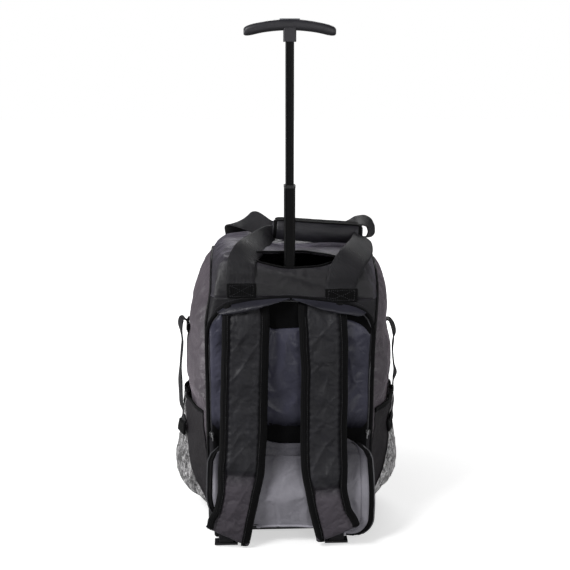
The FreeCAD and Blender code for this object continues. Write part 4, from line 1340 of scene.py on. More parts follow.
# =============================================================================
# Shoulder straps
# =============================================================================
# the straps' middle line from the top down: y, z, shared by both, and x of each
STRAP_YZ = [(-142.5, 444.0), (-147.0, 435), (-155, 404), (-161, 340), (-165, 280),
            (-171, 210), (-182, 152), (-192, 104), (-196.5, 62), (-195, 28), (-190.5, 11)]
STRAP_X = {"left": [-78, -78, -79, -81, -83, -85, -89, -95, -104, -110, -114],
           "right": [54, 54, 57, 60, 60, 59, 60, 64, 73, 81, 84]}
STRAP_SEED = {"left": 3.0, "right": 14.0}
# height of the crease across each strap
STRAP_FOLD = {"left": 137.0, "right": 111.0}
# slanted cut of the foot: drop per half width, drop in the middle
STRAP_SLANT = {"left": (14.0, -16.0), "right": (-12.0, -18.5)}
# binding width, inset of its stitches, for the left and right edge of each strap
BINDINGS = {"left": ((10.6, 8.0), (13.4, 10.6)), "right": ((12.6, 9.8), (11.6, 8.8))}


def slant(side, v):
    slope, middle = STRAP_SLANT[side]
    return slope * v + middle


def flare(side, v):
    """The outer edge of each strap spreads at its foot."""
    return -10.0 * max(0.0, -v) if side == "left" else 7.0 * max(0.0, v)


def build_strap(side):
    seed, fold_z, body = STRAP_SEED[side], STRAP_FOLD[side], side + "_strap"
    material = MAT["strap_" + side]
    count, width = ((300, 41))
    path = catmull([(x, y, z) for x, (y, z) in zip(STRAP_X[side], STRAP_YZ)], count)
    height = path[:, 2]
    along = tangents(path)
    across = unit_rows(X_AXIS - along * along[:, :1])
    out = np.cross(along, across)
    facing = np.sign(-out[:, 1:2])
    facing[facing == 0] = 1
    out = out * facing
    run = run_length(path)
    start = ease(4, 48, run)
    foot_flare = ease(run[-1] - 60, run[-1], run)
    foot_slant = ease(run[-1] - 80, run[-1], run)
    half = 40.0 + np.array([ripple(s * 0.02, seed, 0) for s in run])
    half *= 1 - 0.06 * np.exp(-((height - 444) / 14.0) ** 2)
    half *= 1 - 0.115 * ease(152, 98, height)

    def strap_line(v):
        """The strap's middle surface along its length at v half widths."""
        return (path + across * (half * v + flare(side, v) * foot_flare)[:, None]
                + along * (slant(side, v) * foot_slant)[:, None])

    def pad_height(i, v):
        """How far the face of the pad stands off the middle surface."""
        s, z, av = run[i], height[i], abs(v)
        crease = bell(z, fold_z, 5.0)
        crown = (2.2 + 3.6 * (1 - av ** 3.2) ** 0.8) * (0.45 + 0.55 * start[i])
        # puckers beside the sewing line just inside each binding
        pull = (0.55 * bell(av, 0.70, 0.16)
                * math.sin(s * 2 * math.pi / 13.5 + 4 * ripple(s * 0.02, v, seed)))
        live = ease(10, 70, s) * (1 - 0.6 * ease(fold_z, fold_z - 25, z))
        creases = ridge(s * 0.019 + v * 0.85, v * 0.7 + seed, 5.0)
        waves = (3.6 * (creases - 0.62) * (1 - av ** 4) * live
                 + 1.7 * ripple(s * 0.014, v * 0.8, seed + 2) * (1 - av ** 4)
                 + 0.8 * ripple(s * 0.05, v * 2.0, seed + 4) * (1 - av ** 6))
        calm = 1 - ease(0.50, 0.66, av)
        fold = (2.6 * crease + 3.2 * bell(z, fold_z, 11.0)
                - 1.6 * bell(z - fold_z - 26, 0, 15.0)) * (1 - av ** 6)
        return (crown - groove(av) * 0.5 - 1.9 * ease(0.60, 0.69, av)
                + (pull + waves * calm) * (0.35 if crease > 0.5 else 1.0) - fold)

    def groove(av):
        """Sewing lines pull the pad down just inside the bindings."""
        return 1.5 * bell(av, 0.735, 0.035)

    top = np.zeros((count, width, 3))
    bottom = np.zeros((count, width, 3))
    for j in range(width):
        v = -1 + 2 * j / (width - 1)
        line = strap_line(v)
        rise = np.array([pad_height(i, v) for i in range(count)])
        top[:, j] = line + out * rise[:, None]
        bottom[:, j] = line - out * (1.9 + 1.7 * (1 - abs(v) ** 3) - 0.5 * groove(abs(v)))
    pin = np.zeros((count, width))
    pin[:] = np.clip((np.abs(np.linspace(-1, 1, width)) - 0.50) / 0.08, 0, 1)[None]
    pin[:3] = 1
    pin[-3:] = 1
    top = drape_grid(top, pin, pressure=1.0, shrink=-0.026, cap=0.0026, bend=0.7)
    skin = np.concatenate([top, bottom[:, ::-1]], axis=1)
    pad = mesh_from(side + "_strap_pad", skin.reshape(-1, 3) * MM,
                    tube_faces(count, skin.shape[1], caps=-1), material)
    attach(pad, body, "strap_fabric", side + "_shoulder_strap")

    for edge, tag, (band, inset) in zip((-1, 1), "ab", BINDINGS[side]):
        # a binding folded over the edge; u runs outward over it, v off its face
        sections = []
        for i, s in enumerate(run):
            w = band + 0.7 * ripple(s * 0.04, edge, seed) + 0.18 * math.sin(s * 0.55)
            over, up, down = 1.6, 3.3 - 1.8 * (1 - start[i]), 2.9
            rows = [(-w, up + 2.5), (-w * 0.6, up + 2.7), (-w * 0.25, up + 1.8),
                    (over * 0.4, up - 0.6), (over + 0.5, 0.2), (over * 0.4, -down - 0.2),
                    (-w * 0.25, -down - 1.0), (-w * 0.7, -down - 1.3), (-w, -down - 1.0),
                    (-w + 0.4, -down + 0.6), (-w * 0.5, -down + 0.3), (-0.6, -1.6),
                    (-0.4, 1.4), (-w * 0.5, up + 0.4), (-w + 0.4, up - 0.6)]
            sections.append([(u * edge, v) for u, v in rows])
        sections = np.array(sections)
        verts = (strap_line(edge)[:, None] + across[:, None] * sections[:, :, :1]
                 + out[:, None] * sections[:, :, 1:])
        size = verts.shape[1]
        uneven = np.array([[(0.20 + 0.35 * ease(190, 290, s))
                            * ripple(s * 0.09, j * 0.15, seed + edge) for j in range(size)]
                           for s in run])
        verts += out[:, None] * uneven[:, :, None]
        binding = mesh_from("%s_strap_binding_%s" % (side, tag), verts.reshape(-1, 3) * MM,
                            tube_faces(count, size, caps=-1), MAT["bind"],
                            uvs=tube_uv(sections[0], run) * MM)
        attach(binding, body, "webbing_black")
        line = (path + across * (half * edge - edge * inset)[:, None] + out * 6.2
                + along * (slant(side, edge * 0.78) * foot_slant)[:, None])
        stitches("%s_strap_stitch_%s" % (side, tag), line[14:-4], out[14:-4], body, pitch=3.8,
                 radius=0.36)
    # folded hem over the foot of the strap
    hem = [path[-1] + across[-1] * (v * (half[-1] - 1) + flare(side, v))
           + along[-1] * slant(side, v) for v in np.linspace(-1, 1, 26)]
    section = [(x - 3.5, y) for x, y in band_section(12, 11.5, 8)]
    attach(sweep(side + "_strap_hem", hem, section, along[-1], material), body, "strap_fabric")


for side, _ in SIDES:
    build_strap(side)

# =============================================================================
# Stow flap hanging open at the foot of the bay
# =============================================================================
# from the hinge to the free rim: y, z, width
FLAP = [(-147.0, 197, 224), (-149.8, 190, 250), (-151.6, 178, 272), (-156, 158, 284),
        (-166, 128, 287), (-177.5, 100, 288), (-181, 78, 288), (-181.8, 50, 286),
        (-181.2, 26, 280), (-180.0, 12, 270)]
FLAP_CROSS_SEAM = 163


def flap_points(cols, rows):
    path = catmull([(0, y, z) for y, z, _ in FLAP], 140)
    run = run_length(path)
    length = run[-1]
    stations = run_length(np.array(FLAP)[:, :2])
    points = np.zeros((cols, rows, 3))
    for j in range(rows):
        s = length * j / (rows - 1)
        y0, z0 = np.interp(s, run, path[:, 1]), np.interp(s, run, path[:, 2])
        width = float(np.interp(s, stations * length / stations[-1], [w for _, _, w in FLAP]))
        for i in range(cols):
            u = -1 + 2 * i / (cols - 1)
            au = abs(u)
            # the free rim's corners are rounded, and its middle is held higher
            corner = 88.0 if u < 0 else 42.0
            q = min(max((s - (length - corner)) / corner, 0.0), 0.985)
            x = u * (width / 2 - corner * (1 - math.sqrt(1 - q * q)))
            share = min(1.0, abs(x) / (width / 2))
            lift = ((25.0 * (1 - share ** (6.0 if x < 0 else 1.8)) - 7.0 * ease(70, 125, x))
                    * ease(length * 0.45, length, s))
            drop = (-13.0 * max(0.0, (au - 0.80) / 0.20) ** 2.0
                    * ease(length * 0.30, 0, s))
            hang = -15.0 * bell(x, 12, 62.0, power=4) * ease(46, 0, s)
            # relief: sunk seams, the channel above the cross seam, a roll inside the edge
            inset = (1 - au) * width / 2
            groove = (-1.5 * bell(inset, 15, 1.9) * ease(4, 16, s)
                      - 1.4 * bell(z0, FLAP_CROSS_SEAM, 2.0) * (1 if inset > 14 else 0))
            channel = 1.9 * bell(z0, 176, 9.0)
            roll = 2.6 * bell(inset, 7, 5.5) * ease(2, 14, s)
            creases = ridge(x * 0.019 + s * 0.006, s * 0.013, 66)
            waves = (3.0 * ripple(x * 0.011, s * 0.010, 61) + 1.5 * (creases - 0.6)
                     + 0.5 * ripple(x * 0.045, s * 0.040, 69))
            crease = -1.3 * bell(x + 30 + 0.12 * (z0 - 70), 0, 3.4) * ease(112, 70, z0)
            baggy = 4.5 * bell(x, 8, 70.0) * bell(z0, 95, 50.0)
            relief = (groove + channel + roll + waves * (0.35 + 0.65 * (1 - au ** 6))
                      + crease + baggy)
            forward = min(relief, 5.6) if z0 < 150 else relief * 0.8
            points[i, j] = (x, y0 - forward, z0 + lift + drop + hang)
    return drape_grid(points, rim_pin(cols, rows, held=2, fade=6), pressure=-0.4,
                      shrink=-0.010, cap=0.0022, bend=2.0)


def build_flap():
    cols, rows = ((190, 140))
    points = flap_points(cols, rows)
    attach(sheet("flap_lining", points, 2.6, [MAT["flap"], MAT["flap_back"]], flip=True,
                 back_material=1), "flap", "lining_grey", "stow_flap")
    normals = grid_normals(points)
    if normals[cols // 2, rows // 2, 1] > 0:
        normals = -normals
    seam = int(round((15.0 / 143.0) * (cols - 1) / 2))
    for tag, sx in SIDES:
        edge = 0 if sx < 0 else -1
        side = X_AXIS * sx
        # the left zip stops where the rim turns in under the flap
        keep = abs(points[edge, :, 0]) > (85.0 if sx < 0 else 0.0)
        keep[:2] = False
        line, outs = points[edge][keep], normals[edge][keep]
        rim = sweep("flap_rim_" + tag, catmull(line + side * 0.4, 160), oval(2.6, 2.21, 10),
                    side, MAT["bind"])
        tape = sweep("flap_tape_" + tag, catmull(line + side * 4.2 + outs * -0.6, 160),
                     band_section(7.0, 1.2), side, MAT["tape"])
        attach(join("flap_zip_tape_" + tag, rim, tape), "flap", "zip_tape",
               *(["stow_zip_tape_flap"] if tag == "left" else []))
        attach(coil("flap_zip_coil_" + tag, line + side * 8.2 - outs * 0.4, outs, side),
               "flap", "zip_tape")
        col = seam if sx < 0 else cols - 1 - seam
        outs = normals[col, 10:-3]
        stitches("flap_seam_" + tag, points[col, 10:-3] + outs * 0.7, outs, "flap", radius=0.3)
    row = int(np.argmin(abs(points[cols // 2, :, 2] - FLAP_CROSS_SEAM)))
    outs = normals[12:-12, row]
    stitches("flap_seam_cross", points[12:-12, row] + outs * 0.6, outs, "flap", radius=0.3)
    # the hem roll uses the lighter copy of the flap satin: painted light
    rim = catmull(points[:, -1] + np.array([0, 0.2, -0.6]), 200)
    attach(sweep("flap_bottom_edge", rim, oval(2.3, 2.53), (0, 0, 1), MAT["flap_hem_lit"]),
           "flap", "lining_grey")


build_flap()


def slab(bm, x, y, z, width, thick, height, taper=1.0):
    """A rounded plate; its lower half is widened or narrowed by taper."""
    rings = []
    for dy, share in ((-thick / 2, 0.86), (-thick * 0.3, 1.0), (thick * 0.3, 1.0),
                      (thick / 2, 0.86)):
        points = []
        for k in range(16):
            a = 2 * math.pi * k / 16
            dx = math.copysign(abs(math.cos(a)) ** 0.55, math.cos(a)) * width / 2 * share
            dz = math.copysign(abs(math.sin(a)) ** 0.55, math.sin(a)) * height / 2 * share
            dx *= taper if dz < 0 else 1.0
            points.append((x + dx, y + dy, z + dz))
        rings.append(points)
    add_tube(bm, rings)


def zip_pull(name, bm, is_puller):
    """Makes the slabs into one object; faces that pass is_puller are plated."""
    for face in bm.faces:
        face.material_index = 1 if is_puller(face.calc_center_median() / MM) else 0
    return object_from_bmesh(name, bm, [MAT["slider"], MAT["puller"]])


def build_bay_slider(side, sx):
    """Two slider plates, a bridge and a dangling two-part pull."""
    bm = bmesh.new()
    x, y = 142.6 * sx, -145.2
    # x, y, z, width, thickness, height, taper
    for plate in ((x, y - 1.0, 201, 9.2, 1.5, 11, 0.72), (x, y + 1.6, 201, 9.2, 1.5, 11, 0.72),
                  (x, y - 2.2, 201.5, 2.6, 1.8, 8.5),
                  (x - 1.6 * sx, y - 3.3, 199.0, 2.6, 1.0, 5.0),
                  (x - 2.2 * sx, y - 3.5, 194.0, 2.2, 0.9, 7.5, 1.25)):
        slab(bm, *plate)
    ob = zip_pull(side + "_bay_zip_pull", bm, lambda c: c.y < y - 2.75)
    attach(ob, side + "_stow_slider", "zip_metal", side + "_stow_zip_slider")


for side, sx in SIDES:
    build_bay_slider(side, sx)

# =============================================================================
# Carry handle: webbing risers, anchor patches and wrap
# =============================================================================
RISER_WIDTH = 48
# Each riser starts flat on a face at x and three heights, then follows its stations:
# x, y, z, direction of the band's width (x, y, z), width.
RISERS = [
    dict(name="back_left", face=BACK, x=-87, heights=(457, 472, 486), seed=1.0, cup=1.2,
         replaces="carry_webbing_back", blend=((-0.086, -0.135, 0.506), (-0.045, -0.03, 0.555)),
         stations=[
             (-86.5, -138.2, 500, 1, 0, 0, 48), (-86, -133.8, 511, 1, 0, 0, 48),
             (-84, -126, 520.5, 0.99, 0, -0.1, 48), (-77, -113, 530.5, 0.90, -0.05, -0.42, 48),
             (-67, -96, 537.5, 0.82, -0.14, -0.56, 47), (-56, -74, 542, 0.78, -0.18, -0.60, 44),
             (-44, -50, 546, 0.70, -0.10, -0.70, 38), (-34, -32, 548.5, 0.50, 0.1, -0.80, 33),
             (-22, -22, 549.5, 0.2, 0.4, -0.85, 28)]),
    dict(name="back_right", face=BACK, x=87.5, heights=(447, 462, 476), seed=5.0, cup=1.2,
         replaces=None, blend=((0.096, -0.130, 0.502), (0.126, -0.040, 0.546)),
         stations=[
             (90, -138.6, 490, 1, 0, 0, 48), (94, -135.2, 502, 0.98, 0.02, -0.15, 48),
             (101, -127, 513, 0.94, 0.05, -0.30, 48), (110, -113, 522.5, 0.88, 0.06, -0.42, 48),
             (119, -95, 529.5, 0.84, 0.02, -0.48, 46), (126, -75, 535, 0.84, 0.10, -0.46, 43),
             (130, -54, 539.5, 0.84, 0.22, -0.42, 39), (131.5, -36, 543, 0.78, 0.42, -0.38, 35),
             (130, -22, 545.5, 0.6, 0.62, -0.4, 31), (124, -15, 547, 0.3, 0.7, -0.6, 28)]),
    dict(name="front_left", face=FRONT, x=-92, heights=(459, 474, 488), seed=9.0, cup=1.8,
         replaces="carry_webbing_front", blend=((-0.092, 0.134, 0.506), (-0.050, 0.015, 0.568)),
         stations=[
             (-92.5, 138.6, 501.5, 1, 0, 0, 48), (-94, 132, 513, 1, 0, 0, 48),
             (-96, 118, 528, 1, 0, 0, 48), (-97, 100, 541, 0.99, 0.1, 0.05, 48),
             (-95, 80, 552, 0.95, 0.22, 0.2, 47), (-88, 60, 560.5, 0.86, 0.30, 0.36, 46),
             (-76, 42, 564.5, 0.66, 0.30, 0.55, 44), (-62, 26, 563.5, 0.42, 0.25, 0.75, 41),
             (-48, 11, 559, 0.3, 0.2, 0.8, 37), (-36, -3, 555, 0.2, 0.3, 0.8, 33),
             (-22, -11, 553, 0.05, 0.5, 0.8, 30)]),
    dict(name="front_right", face=FRONT, x=97, heights=(452, 468, 482), seed=13.0, cup=1.0,
         replaces=None, blend=((0.100, 0.130, 0.504), (0.148, 0.030, 0.558)),
         stations=[
             (98, 137.8, 497, 1, 0, 0, 48), (101, 131, 508, 1, 0, 0, 48),
             (107, 117, 518, 0.97, 0.15, -0.1, 48), (117, 98, 524, 0.9, 0.35, -0.15, 48),
             (130, 76, 525, 0.75, 0.6, -0.15, 46), (140.5, 54, 527, 0.6, 0.78, -0.1, 43),
             (148, 36, 533, 0.45, 0.88, 0.0, 40), (151.5, 21, 544.5, 0.38, 0.91, 0.08, 37),
             (149, 9, 558, 0.36, 0.91, 0.15, 35), (140, 0, 568, 0.30, 0.90, 0.28, 33),
             (126, -6, 570, 0.15, 0.88, 0.40, 31), (110, -10, 564, 0.0, 0.93, 0.3, 30)]),
]


def build_riser(name, face, x, heights, seed, cup, replaces, blend, stations):
    sewn = [(*face_point(face, x, z, 1.6)[0], *X_AXIS, RISER_WIDTH) for z in heights]
    rows = np.array(sewn + stations, float)
    ob = ribbon("carry_riser_" + name, rows[:, :3], rows[:, 3:6], rows[:, 6], seed=seed, cup=cup)
    if replaces:
        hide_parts(replaces)
    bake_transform(ob)


def build_patch(name, x0, z0, z1, face, *replaced):
    """A sewn anchor with a box and a cross of stitches."""
    cols, rows, width = 26, 24, 50
    points = np.zeros((cols, rows, 3))
    normals = np.zeros((cols, rows, 3))
    for i in range(cols):
        for j in range(rows):
            x = x0 + width * (i / (cols - 1) - 0.5)
            z = z0 + (z1 - z0) * j / (rows - 1)
            point, normals[i, j] = face_point(face, x, z)
            points[i, j] = point + normals[i, j] * (3.1 + 0.25 * ripple(x * 0.2, z * 0.2, 3))
    attach(sheet(name, points, 2.8, MAT["bind"], flip=face == FRONT), "bag", "webbing_black",
           *replaced)
    right, top = cols - 3, rows - 3
    stitch_lines(name, points, normals,
                 ((2, 2, right, 2), (2, top, right, top), (2, 2, 2, top),
                  (right, 2, right, top), (2, 2, right, top), (2, top, right, 2)), steps=12)


for riser in RISERS:
    build_riser(**riser)
build_patch("carry_patch_back_left", -86, 457, 480, BACK, "back_anchor_patches")
build_patch("carry_patch_back_right", 88, 446, 469, BACK)
build_patch("carry_patch_front_left", -92, 457, 480, FRONT, "front_anchor_patches")
build_patch("carry_patch_front_right", 97, 449, 472, FRONT)

WRAP_CENTRE = np.array([52.0, -15.0, 551.5])
WRAP_HALF, WRAP_RADIUS, WRAP_TILT = 80.5, 15.2, math.radians(4.3)


def build_wrap():
    """The padded wrap closed with an overlapping edge, with bindings on its edges."""
    rings, count = ((110, 56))
    verts, uvs = [], []
    for i in range(rings):
        u = -1 + 2 * i / (rings - 1)
        x = WRAP_HALF * u
        radius = WRAP_RADIUS * (0.60 + 0.40 * (1 - abs(u) ** 14) ** 0.5)
        pinch = -1.1 * bell(abs(u), 0.93, 0.03)
        for j in range(count):
            a = 2 * math.pi * j / count
            lap = 1.9 if 1.75 < a < 4.9 else 0.0
            lap *= ease(1.70, 1.85, a) * ease(5.0, 4.8, a)
            wrinkle = (0.7 * ripple(x * 0.02, math.cos(a) * 1.4, math.sin(a) * 1.4 + 30)
                       + 0.35 * ripple(x * 0.07, math.cos(a) * 3, math.sin(a) * 3))
            reach = radius + lap + wrinkle + pinch
            y, z = math.cos(a) * reach * 0.98, math.sin(a) * reach * 1.18
            verts.append(WRAP_CENTRE + np.array([
                x * math.cos(WRAP_TILT) + z * math.sin(WRAP_TILT), y,
                -x * math.sin(WRAP_TILT) + z * math.cos(WRAP_TILT)]))
            uvs.append((a * 0.015, x * MM))
    wrap = mesh_from("carry_wrap_pad", np.array(verts) * MM,
                     tube_faces(rings, count, caps=-1), MAT["wrap"], uvs=uvs)
    attach(wrap, "carry_handle", "strap_fabric", "carry_wrap")
    skin = np.array(verts).reshape(rings, count, 3)
    edge = skin[3:-3, int(count * 0.300)] + np.array([0, -0.4, 1.0])
    attach(sweep("carry_wrap_binding", catmull(edge, 80), band_section(15, 1.8), (0, 1, 0.30),
                 MAT["bind"]), "carry_handle", "webbing_black")
    for index, tag in ((4, "left"), (-5, "right")):
        ring = np.vstack([skin[index], skin[index][:1]])
        outs = unit_rows(ring - ring[:-1].mean(0))
        attach(sweep("carry_wrap_end_" + tag, ring + outs * 0.5, band_section(7.5, 1.3), X_AXIS,
                     MAT["bind"], caps=0), "carry_handle", "webbing_black")


build_wrap()

# =============================================================================
# Side webbing loops
# =============================================================================
# the filled pocket's reach from the bag's middle: z, x
POUCH_Z = [26, 40, 52, 66, 84, 100, 130, 165, 200, 236]
POUCH_X = [160, 181, 196, 206, 212, 213, 210, 205, 200, 196]
# share of that reach along the pocket: y, share
POUCH_Y = np.array([-119.0, -100, -78, -55, -30, 0, 30, 60, 84, 100])
POUCH_SHARE = np.array([0.0, 0.20, 0.50, 0.78, 0.94, 1.0, 0.98, 0.80, 0.40, 0.0])


def pouch_x(sx, y, z):
    """Distance of the filled pocket's skin from the middle of the bag."""
    level = max(z, 30)
    fill = max(0.0, np.interp(z, POUCH_Z, POUCH_X) - abs(side_point(sx, 0, level)[0][0]))
    return (abs(side_point(sx, y, level)[0][0]) + 1.0
            + fill * float(np.interp(y, POUCH_Y, POUCH_SHARE)))


# from the top patch out and down: distance from the bag's middle, y, z
LOOP = {"left": [(187.6, 0, 366), (189.0, 0, 374), (192.5, 0, 380.5), (198.5, 0, 384.0),
                 (203.5, 0, 380.5), (205.8, 0, 369), (203.8, -1, 352), (202.2, -2, 337),
                 (204.6, -2, 314), (207.2, -2, 286), (208.2, -2, 255), (208.0, -2, 230),
                 (206.6, -7, 213)],
        "right": [(187.0, 0, 362), (189.6, 0, 370), (194.0, 0, 375.0), (199.5, 0, 372.5),
                  (205.2, 0, 362), (207.6, -1, 349), (206.0, -2, 335), (205.0, -2, 321),
                  (206.2, -2, 304), (208.6, -2, 281), (210.6, -2, 265), (208.0, -2, 247),
                  (207.4, -4, 226), (206.6, -8, 212)]}
# foot of the loop on the pocket: y, z, distance off its skin
LOOP_FOOT = ((-20, 202, 3.6), (-38, 194, 3.4), (-54, 186, 3.4))
# direction of the band's width at each point, its x away from the bag
LOOP_SIDES_TOP = [(0, 1, 0)] * 2 + [(0.3, 0.95, 0)] * 2 + [(0.34, 0.94, 0.05)] * 2 + [
    (0.12, 0.99, 0)] * 2 + [(0.14, 0.99, 0)] * 2
LOOP_SIDES_LOW = {"left": [(0.3, 0.95, 0)] * 3,
                  "right": [(0.42, 0.90, 0), (0.16, 0.98, 0), (0.16, 0.98, 0), (0.3, 0.95, 0)]}
LOOP_SIDES_FOOT = [(0.25, 0.93, -0.25), (0.22, 0.88, -0.42), (0.20, 0.84, -0.50)]


def build_loop_patch(name, sx, y0, z0, z1, on_pocket, *replaced):
    """A patch over one end of a loop, on the gusset or on the pocket's skin."""
    cols, rows = 14, 12
    points = np.zeros((cols, rows, 3))
    normals = np.zeros((cols, rows, 3))
    for i in range(cols):
        for j in range(rows):
            y = y0 - 15 + 30 * i / (cols - 1)
            z = z0 + (z1 - z0) * j / (rows - 1)
            point, normal = side_point(sx, y, z)
            if on_pocket:
                normal = np.array([sx * 0.94, -0.34, 0.0])
                point = np.array([sx * pouch_x(sx, y, z), y, z])
            points[i, j] = point + normal * (5.4 if on_pocket else 3.6)
            normals[i, j] = normal
    attach(sheet(name, points, 5.0 if on_pocket else 3.2, MAT["bind"]), "bag", "webbing_black",
           *replaced)
    stitch_lines(name, points, normals,
                 ((1, 1, 12, 1), (1, 10, 12, 10), (1, 1, 12, 10), (1, 10, 12, 1)), steps=8)


def build_loop(side, sx):
    # the right loop's points already include the bag's lean, which its mesh adds again
    points = [(sx * x - (lean_dx(x * MM, z * MM) / MM if sx > 0 else 0.0), y, z)
              for x, y, z in LOOP[side]]
    points += [(sx * (pouch_x(sx, y, z) + off), y, z) for y, z, off in LOOP_FOOT]
    sides = [(sx * x, y, z)
             for x, y, z in LOOP_SIDES_TOP + LOOP_SIDES_LOW[side] + LOOP_SIDES_FOOT]
    ob = ribbon(side + "_loop_webbing", points, sides, [25] * len(points), thick=2.6, count=160,
                seed=3.0 + sx, cup=0.4, wobble=0.8)
    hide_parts(side + "_side_handle")
    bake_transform(ob)
    build_loop_patch(side + "_loop_patch_top", sx, 0, 358, 381, False,
                     *(["side_handle_patches"] if side == "left" else []))
    build_loop_patch(side + "_loop_patch_foot", sx, -50, 172, 192, True)


for side, sx in SIDES:
    build_loop(side, sx)

# =============================================================================
# Mesh side pockets
# =============================================================================
POCKET_FOOT, POCKET_TOP, POCKET_FORE = 28, 235, 100
# where the plain gore meets the net: z, y
GORE_EDGE = ([28, 60, 100, 140, 190, 235], [-88, -96, -82, -68, -57, -53])


def build_pocket(side, sx):
    cols, rows = ((120, 110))
    gore_cols = 28

    def pocket_point(y, level, v):
        """A point of the pocket v of the way up, where its top edge climbs mid-gusset."""
        z = level + 9.0 * bell(y, -34, 40.0) * v ** 3
        share = float(np.interp(y, POUCH_Y, POUCH_SHARE))
        creases = ridge(y * 0.06 + z * 0.012, z * 0.025, 75 + sx)
        gather = ((2.4 * ripple(y * 0.045, z * 0.012, 70 + sx) + 1.6 * (creases - 0.6)
                   + 0.8 * ripple(y * 0.13, z * 0.1, 78)) * (0.3 + 0.7 * ease(-80, -45, y)))
        x = pouch_x(sx, y, z) + gather * min(1.0, share * 1.6) * min(1.0, v * 14)
        return (sx * x, y, z)

    net = np.zeros((cols, rows, 3))
    gore = np.zeros((gore_cols, rows, 3))
    for j in range(rows):
        v = j / (rows - 1)
        z = POCKET_FOOT + (POCKET_TOP - POCKET_FOOT) * v
        rear = -126 + 33 * ease(60, 28, z)
        split = float(np.interp(z, *GORE_EDGE))
        for i in range(cols):
            net[i, j] = pocket_point(split + (POCKET_FORE - split) * i / (cols - 1), z, v)
        for i in range(gore_cols):
            gore[i, j] = pocket_point(rear + (split - rear) * i / (gore_cols - 1), z, v)
    net = drape_grid(net, rim_pin(cols, rows, held=1, fade=4), pressure=1.0 * sx, shrink=-0.05,
                     cap=0.005, bend=0.1)
    attach(sheet(side + "_pocket_net", net, 0.7, MAT["mesh"]), "bag", "mesh_grey",
           side + "_mesh_pocket")
    attach(sheet(side + "_pocket_gore", gore, 1.6, MAT["gore"]), "bag", "fabric_side")

    def binding(tag, line, count, width, thick, direction, *replaced):
        attach(sweep("%s_pocket_%s" % (side, tag), catmull(line, count),
                     band_section(width, thick), direction, MAT["bind"]),
               "bag", "fabric_black", *replaced)

    binding("rim", np.vstack([gore[:-1, -1], net[:, -1]]) + np.array([sx * 0.3, 0, 1.5]), 170,
            9.5, 2.6, (0, 0, 1), *(["pocket_bindings"] if side == "left" else []))
    binding("edge_rear", net[0] + np.array([sx * 0.7, 0.0, 0]), 100, 3.0, 1.5,
            (0.35 * sx, 1, 0))
    binding("edge_fore", net[-1] + np.array([sx * 0.7, 2.0, 0]), 100, 7.5, 1.5,
            (0.35 * sx, 1, 0))
    binding("edge_foot", np.vstack([gore[:-1, 0], net[:, 0]]) + np.array([sx * 0.4, 0, -1.0]),
            100, 7.5, 1.6, (0, 0, 1))


for side, sx in SIDES:
    build_pocket(side, sx)

# =============================================================================
# Front door, padded pocket and its zips
# =============================================================================


def rounded_loop(half, z0, z1, radius, count):
    """A closed rounded rectangle in the x-z plane."""
    points = []
    for x, z, first in ((half - radius, z1 - radius, 0), (-half + radius, z1 - radius, 90),
                        (-half + radius, z0 + radius, 180), (half - radius, z0 + radius, 270)):
        for k in range(9):
            a = math.radians(first + 90 * k / 8)
            points.append((x + radius * math.cos(a), 0, z + radius * math.sin(a)))
    return catmull(points + [points[0]], count)


def build_door_zip():
    frames = [face_point(FRONT, x, max(z, 80), 1.4)
              for x, _, z in rounded_loop(120.8, 90.4, 433.0, radius=38, count=200)]
    path = np.array([point for point, _ in frames])
    outs = np.array([normal for _, normal in frames])
    sides = unit_rows(np.cross(outs, np.gradient(path, axis=0)))
    attach(sweep("door_zip_band", path, band_section(9.5, 1.8), sides, MAT["tape"]),
           "bag", "zip_tape", "door_zip_tape")
    attach(coil("door_zip_coil", path + outs * 1.2, outs, sides), "bag", "zip_tape")


# the pocket's pad from the door outward: share of the outline, y
POCKET_RINGS = [(1.0, 136), (1.004, 146), (1.008, 158), (1.006, 170), (0.997, 181),
                (0.978, 189), (0.945, 193.6), (0.90, 195.6), (0.80, 196.6), (0.65, 197.2),
                (0.48, 197.6), (0.30, 197.8), (0.14, 197.9), (0.03, 197.9)]
POCKET_CENTRE = np.array([0.0, 0, 202.0])


def build_door_pocket():
    outline = rounded_loop(104, 104, 300, radius=30, count=121)[:-1]
    count = len(outline)
    verts = []
    for k, (share, y) in enumerate(POCKET_RINGS):
        for p in outline:
            x, _, z = POCKET_CENTRE + (p - POCKET_CENTRE) * share
            wave = (1.4 * ripple(x * 0.02, z * 0.02, y * 0.02 + 90)
                    + 0.5 * ripple(x * 0.07, z * 0.07, y * 0.07))
            uneven = 0.010 * ripple(x * 0.03, z * 0.03, y * 0.05) if 1 < k < 6 else 0
            spot = POCKET_CENTRE + (p - POCKET_CENTRE) * (share + uneven)
            if k > 0:
                depth = min(y + wave * (1 if k > 5 else 0.25), 199.6)
            else:
                depth = face_point(FRONT, x, z)[0][1] - 1.0
            verts.append((spot[0], depth, spot[2]))
    rings = len(POCKET_RINGS)
    faces = tube_faces(rings, count, caps=0)
    faces.append(tuple((rings - 1) * count + j for j in range(count)))
    pad = mesh_from("door_pocket_pad", np.array(verts) * MM, faces, MAT["shell"])
    smoothing = pad.modifiers.new("Smooth", "SUBSURF")
    smoothing.levels = smoothing.render_levels = 2
    apply_all(pad)
    thicken(pad, 2.4)
    apply_all(pad)
    attach(pad, "door", "fabric_black", "front_pocket")

    def scaled_outline(share):
        loop = np.vstack([outline, outline[:2]])
        return np.array([POCKET_CENTRE + (p - POCKET_CENTRE) * share for p in loop])

    piping = scaled_outline(0.992)
    piping[:, 1] = 187.5
    attach(sweep("door_pocket_piping", piping, oval(2.6, 2.6, 10), (0, 1, 0), MAT["pipe"],
                 caps=0), "door", "piping_black")
    foot = [face_point(FRONT, p[0], p[2], 1.6)[0] for p in scaled_outline(1.012)]
    attach(sweep("door_pocket_foot_binding", foot, band_section(8.0, 2.0), (0, 1, 0),
                 MAT["bind"], caps=0), "door", "fabric_black")


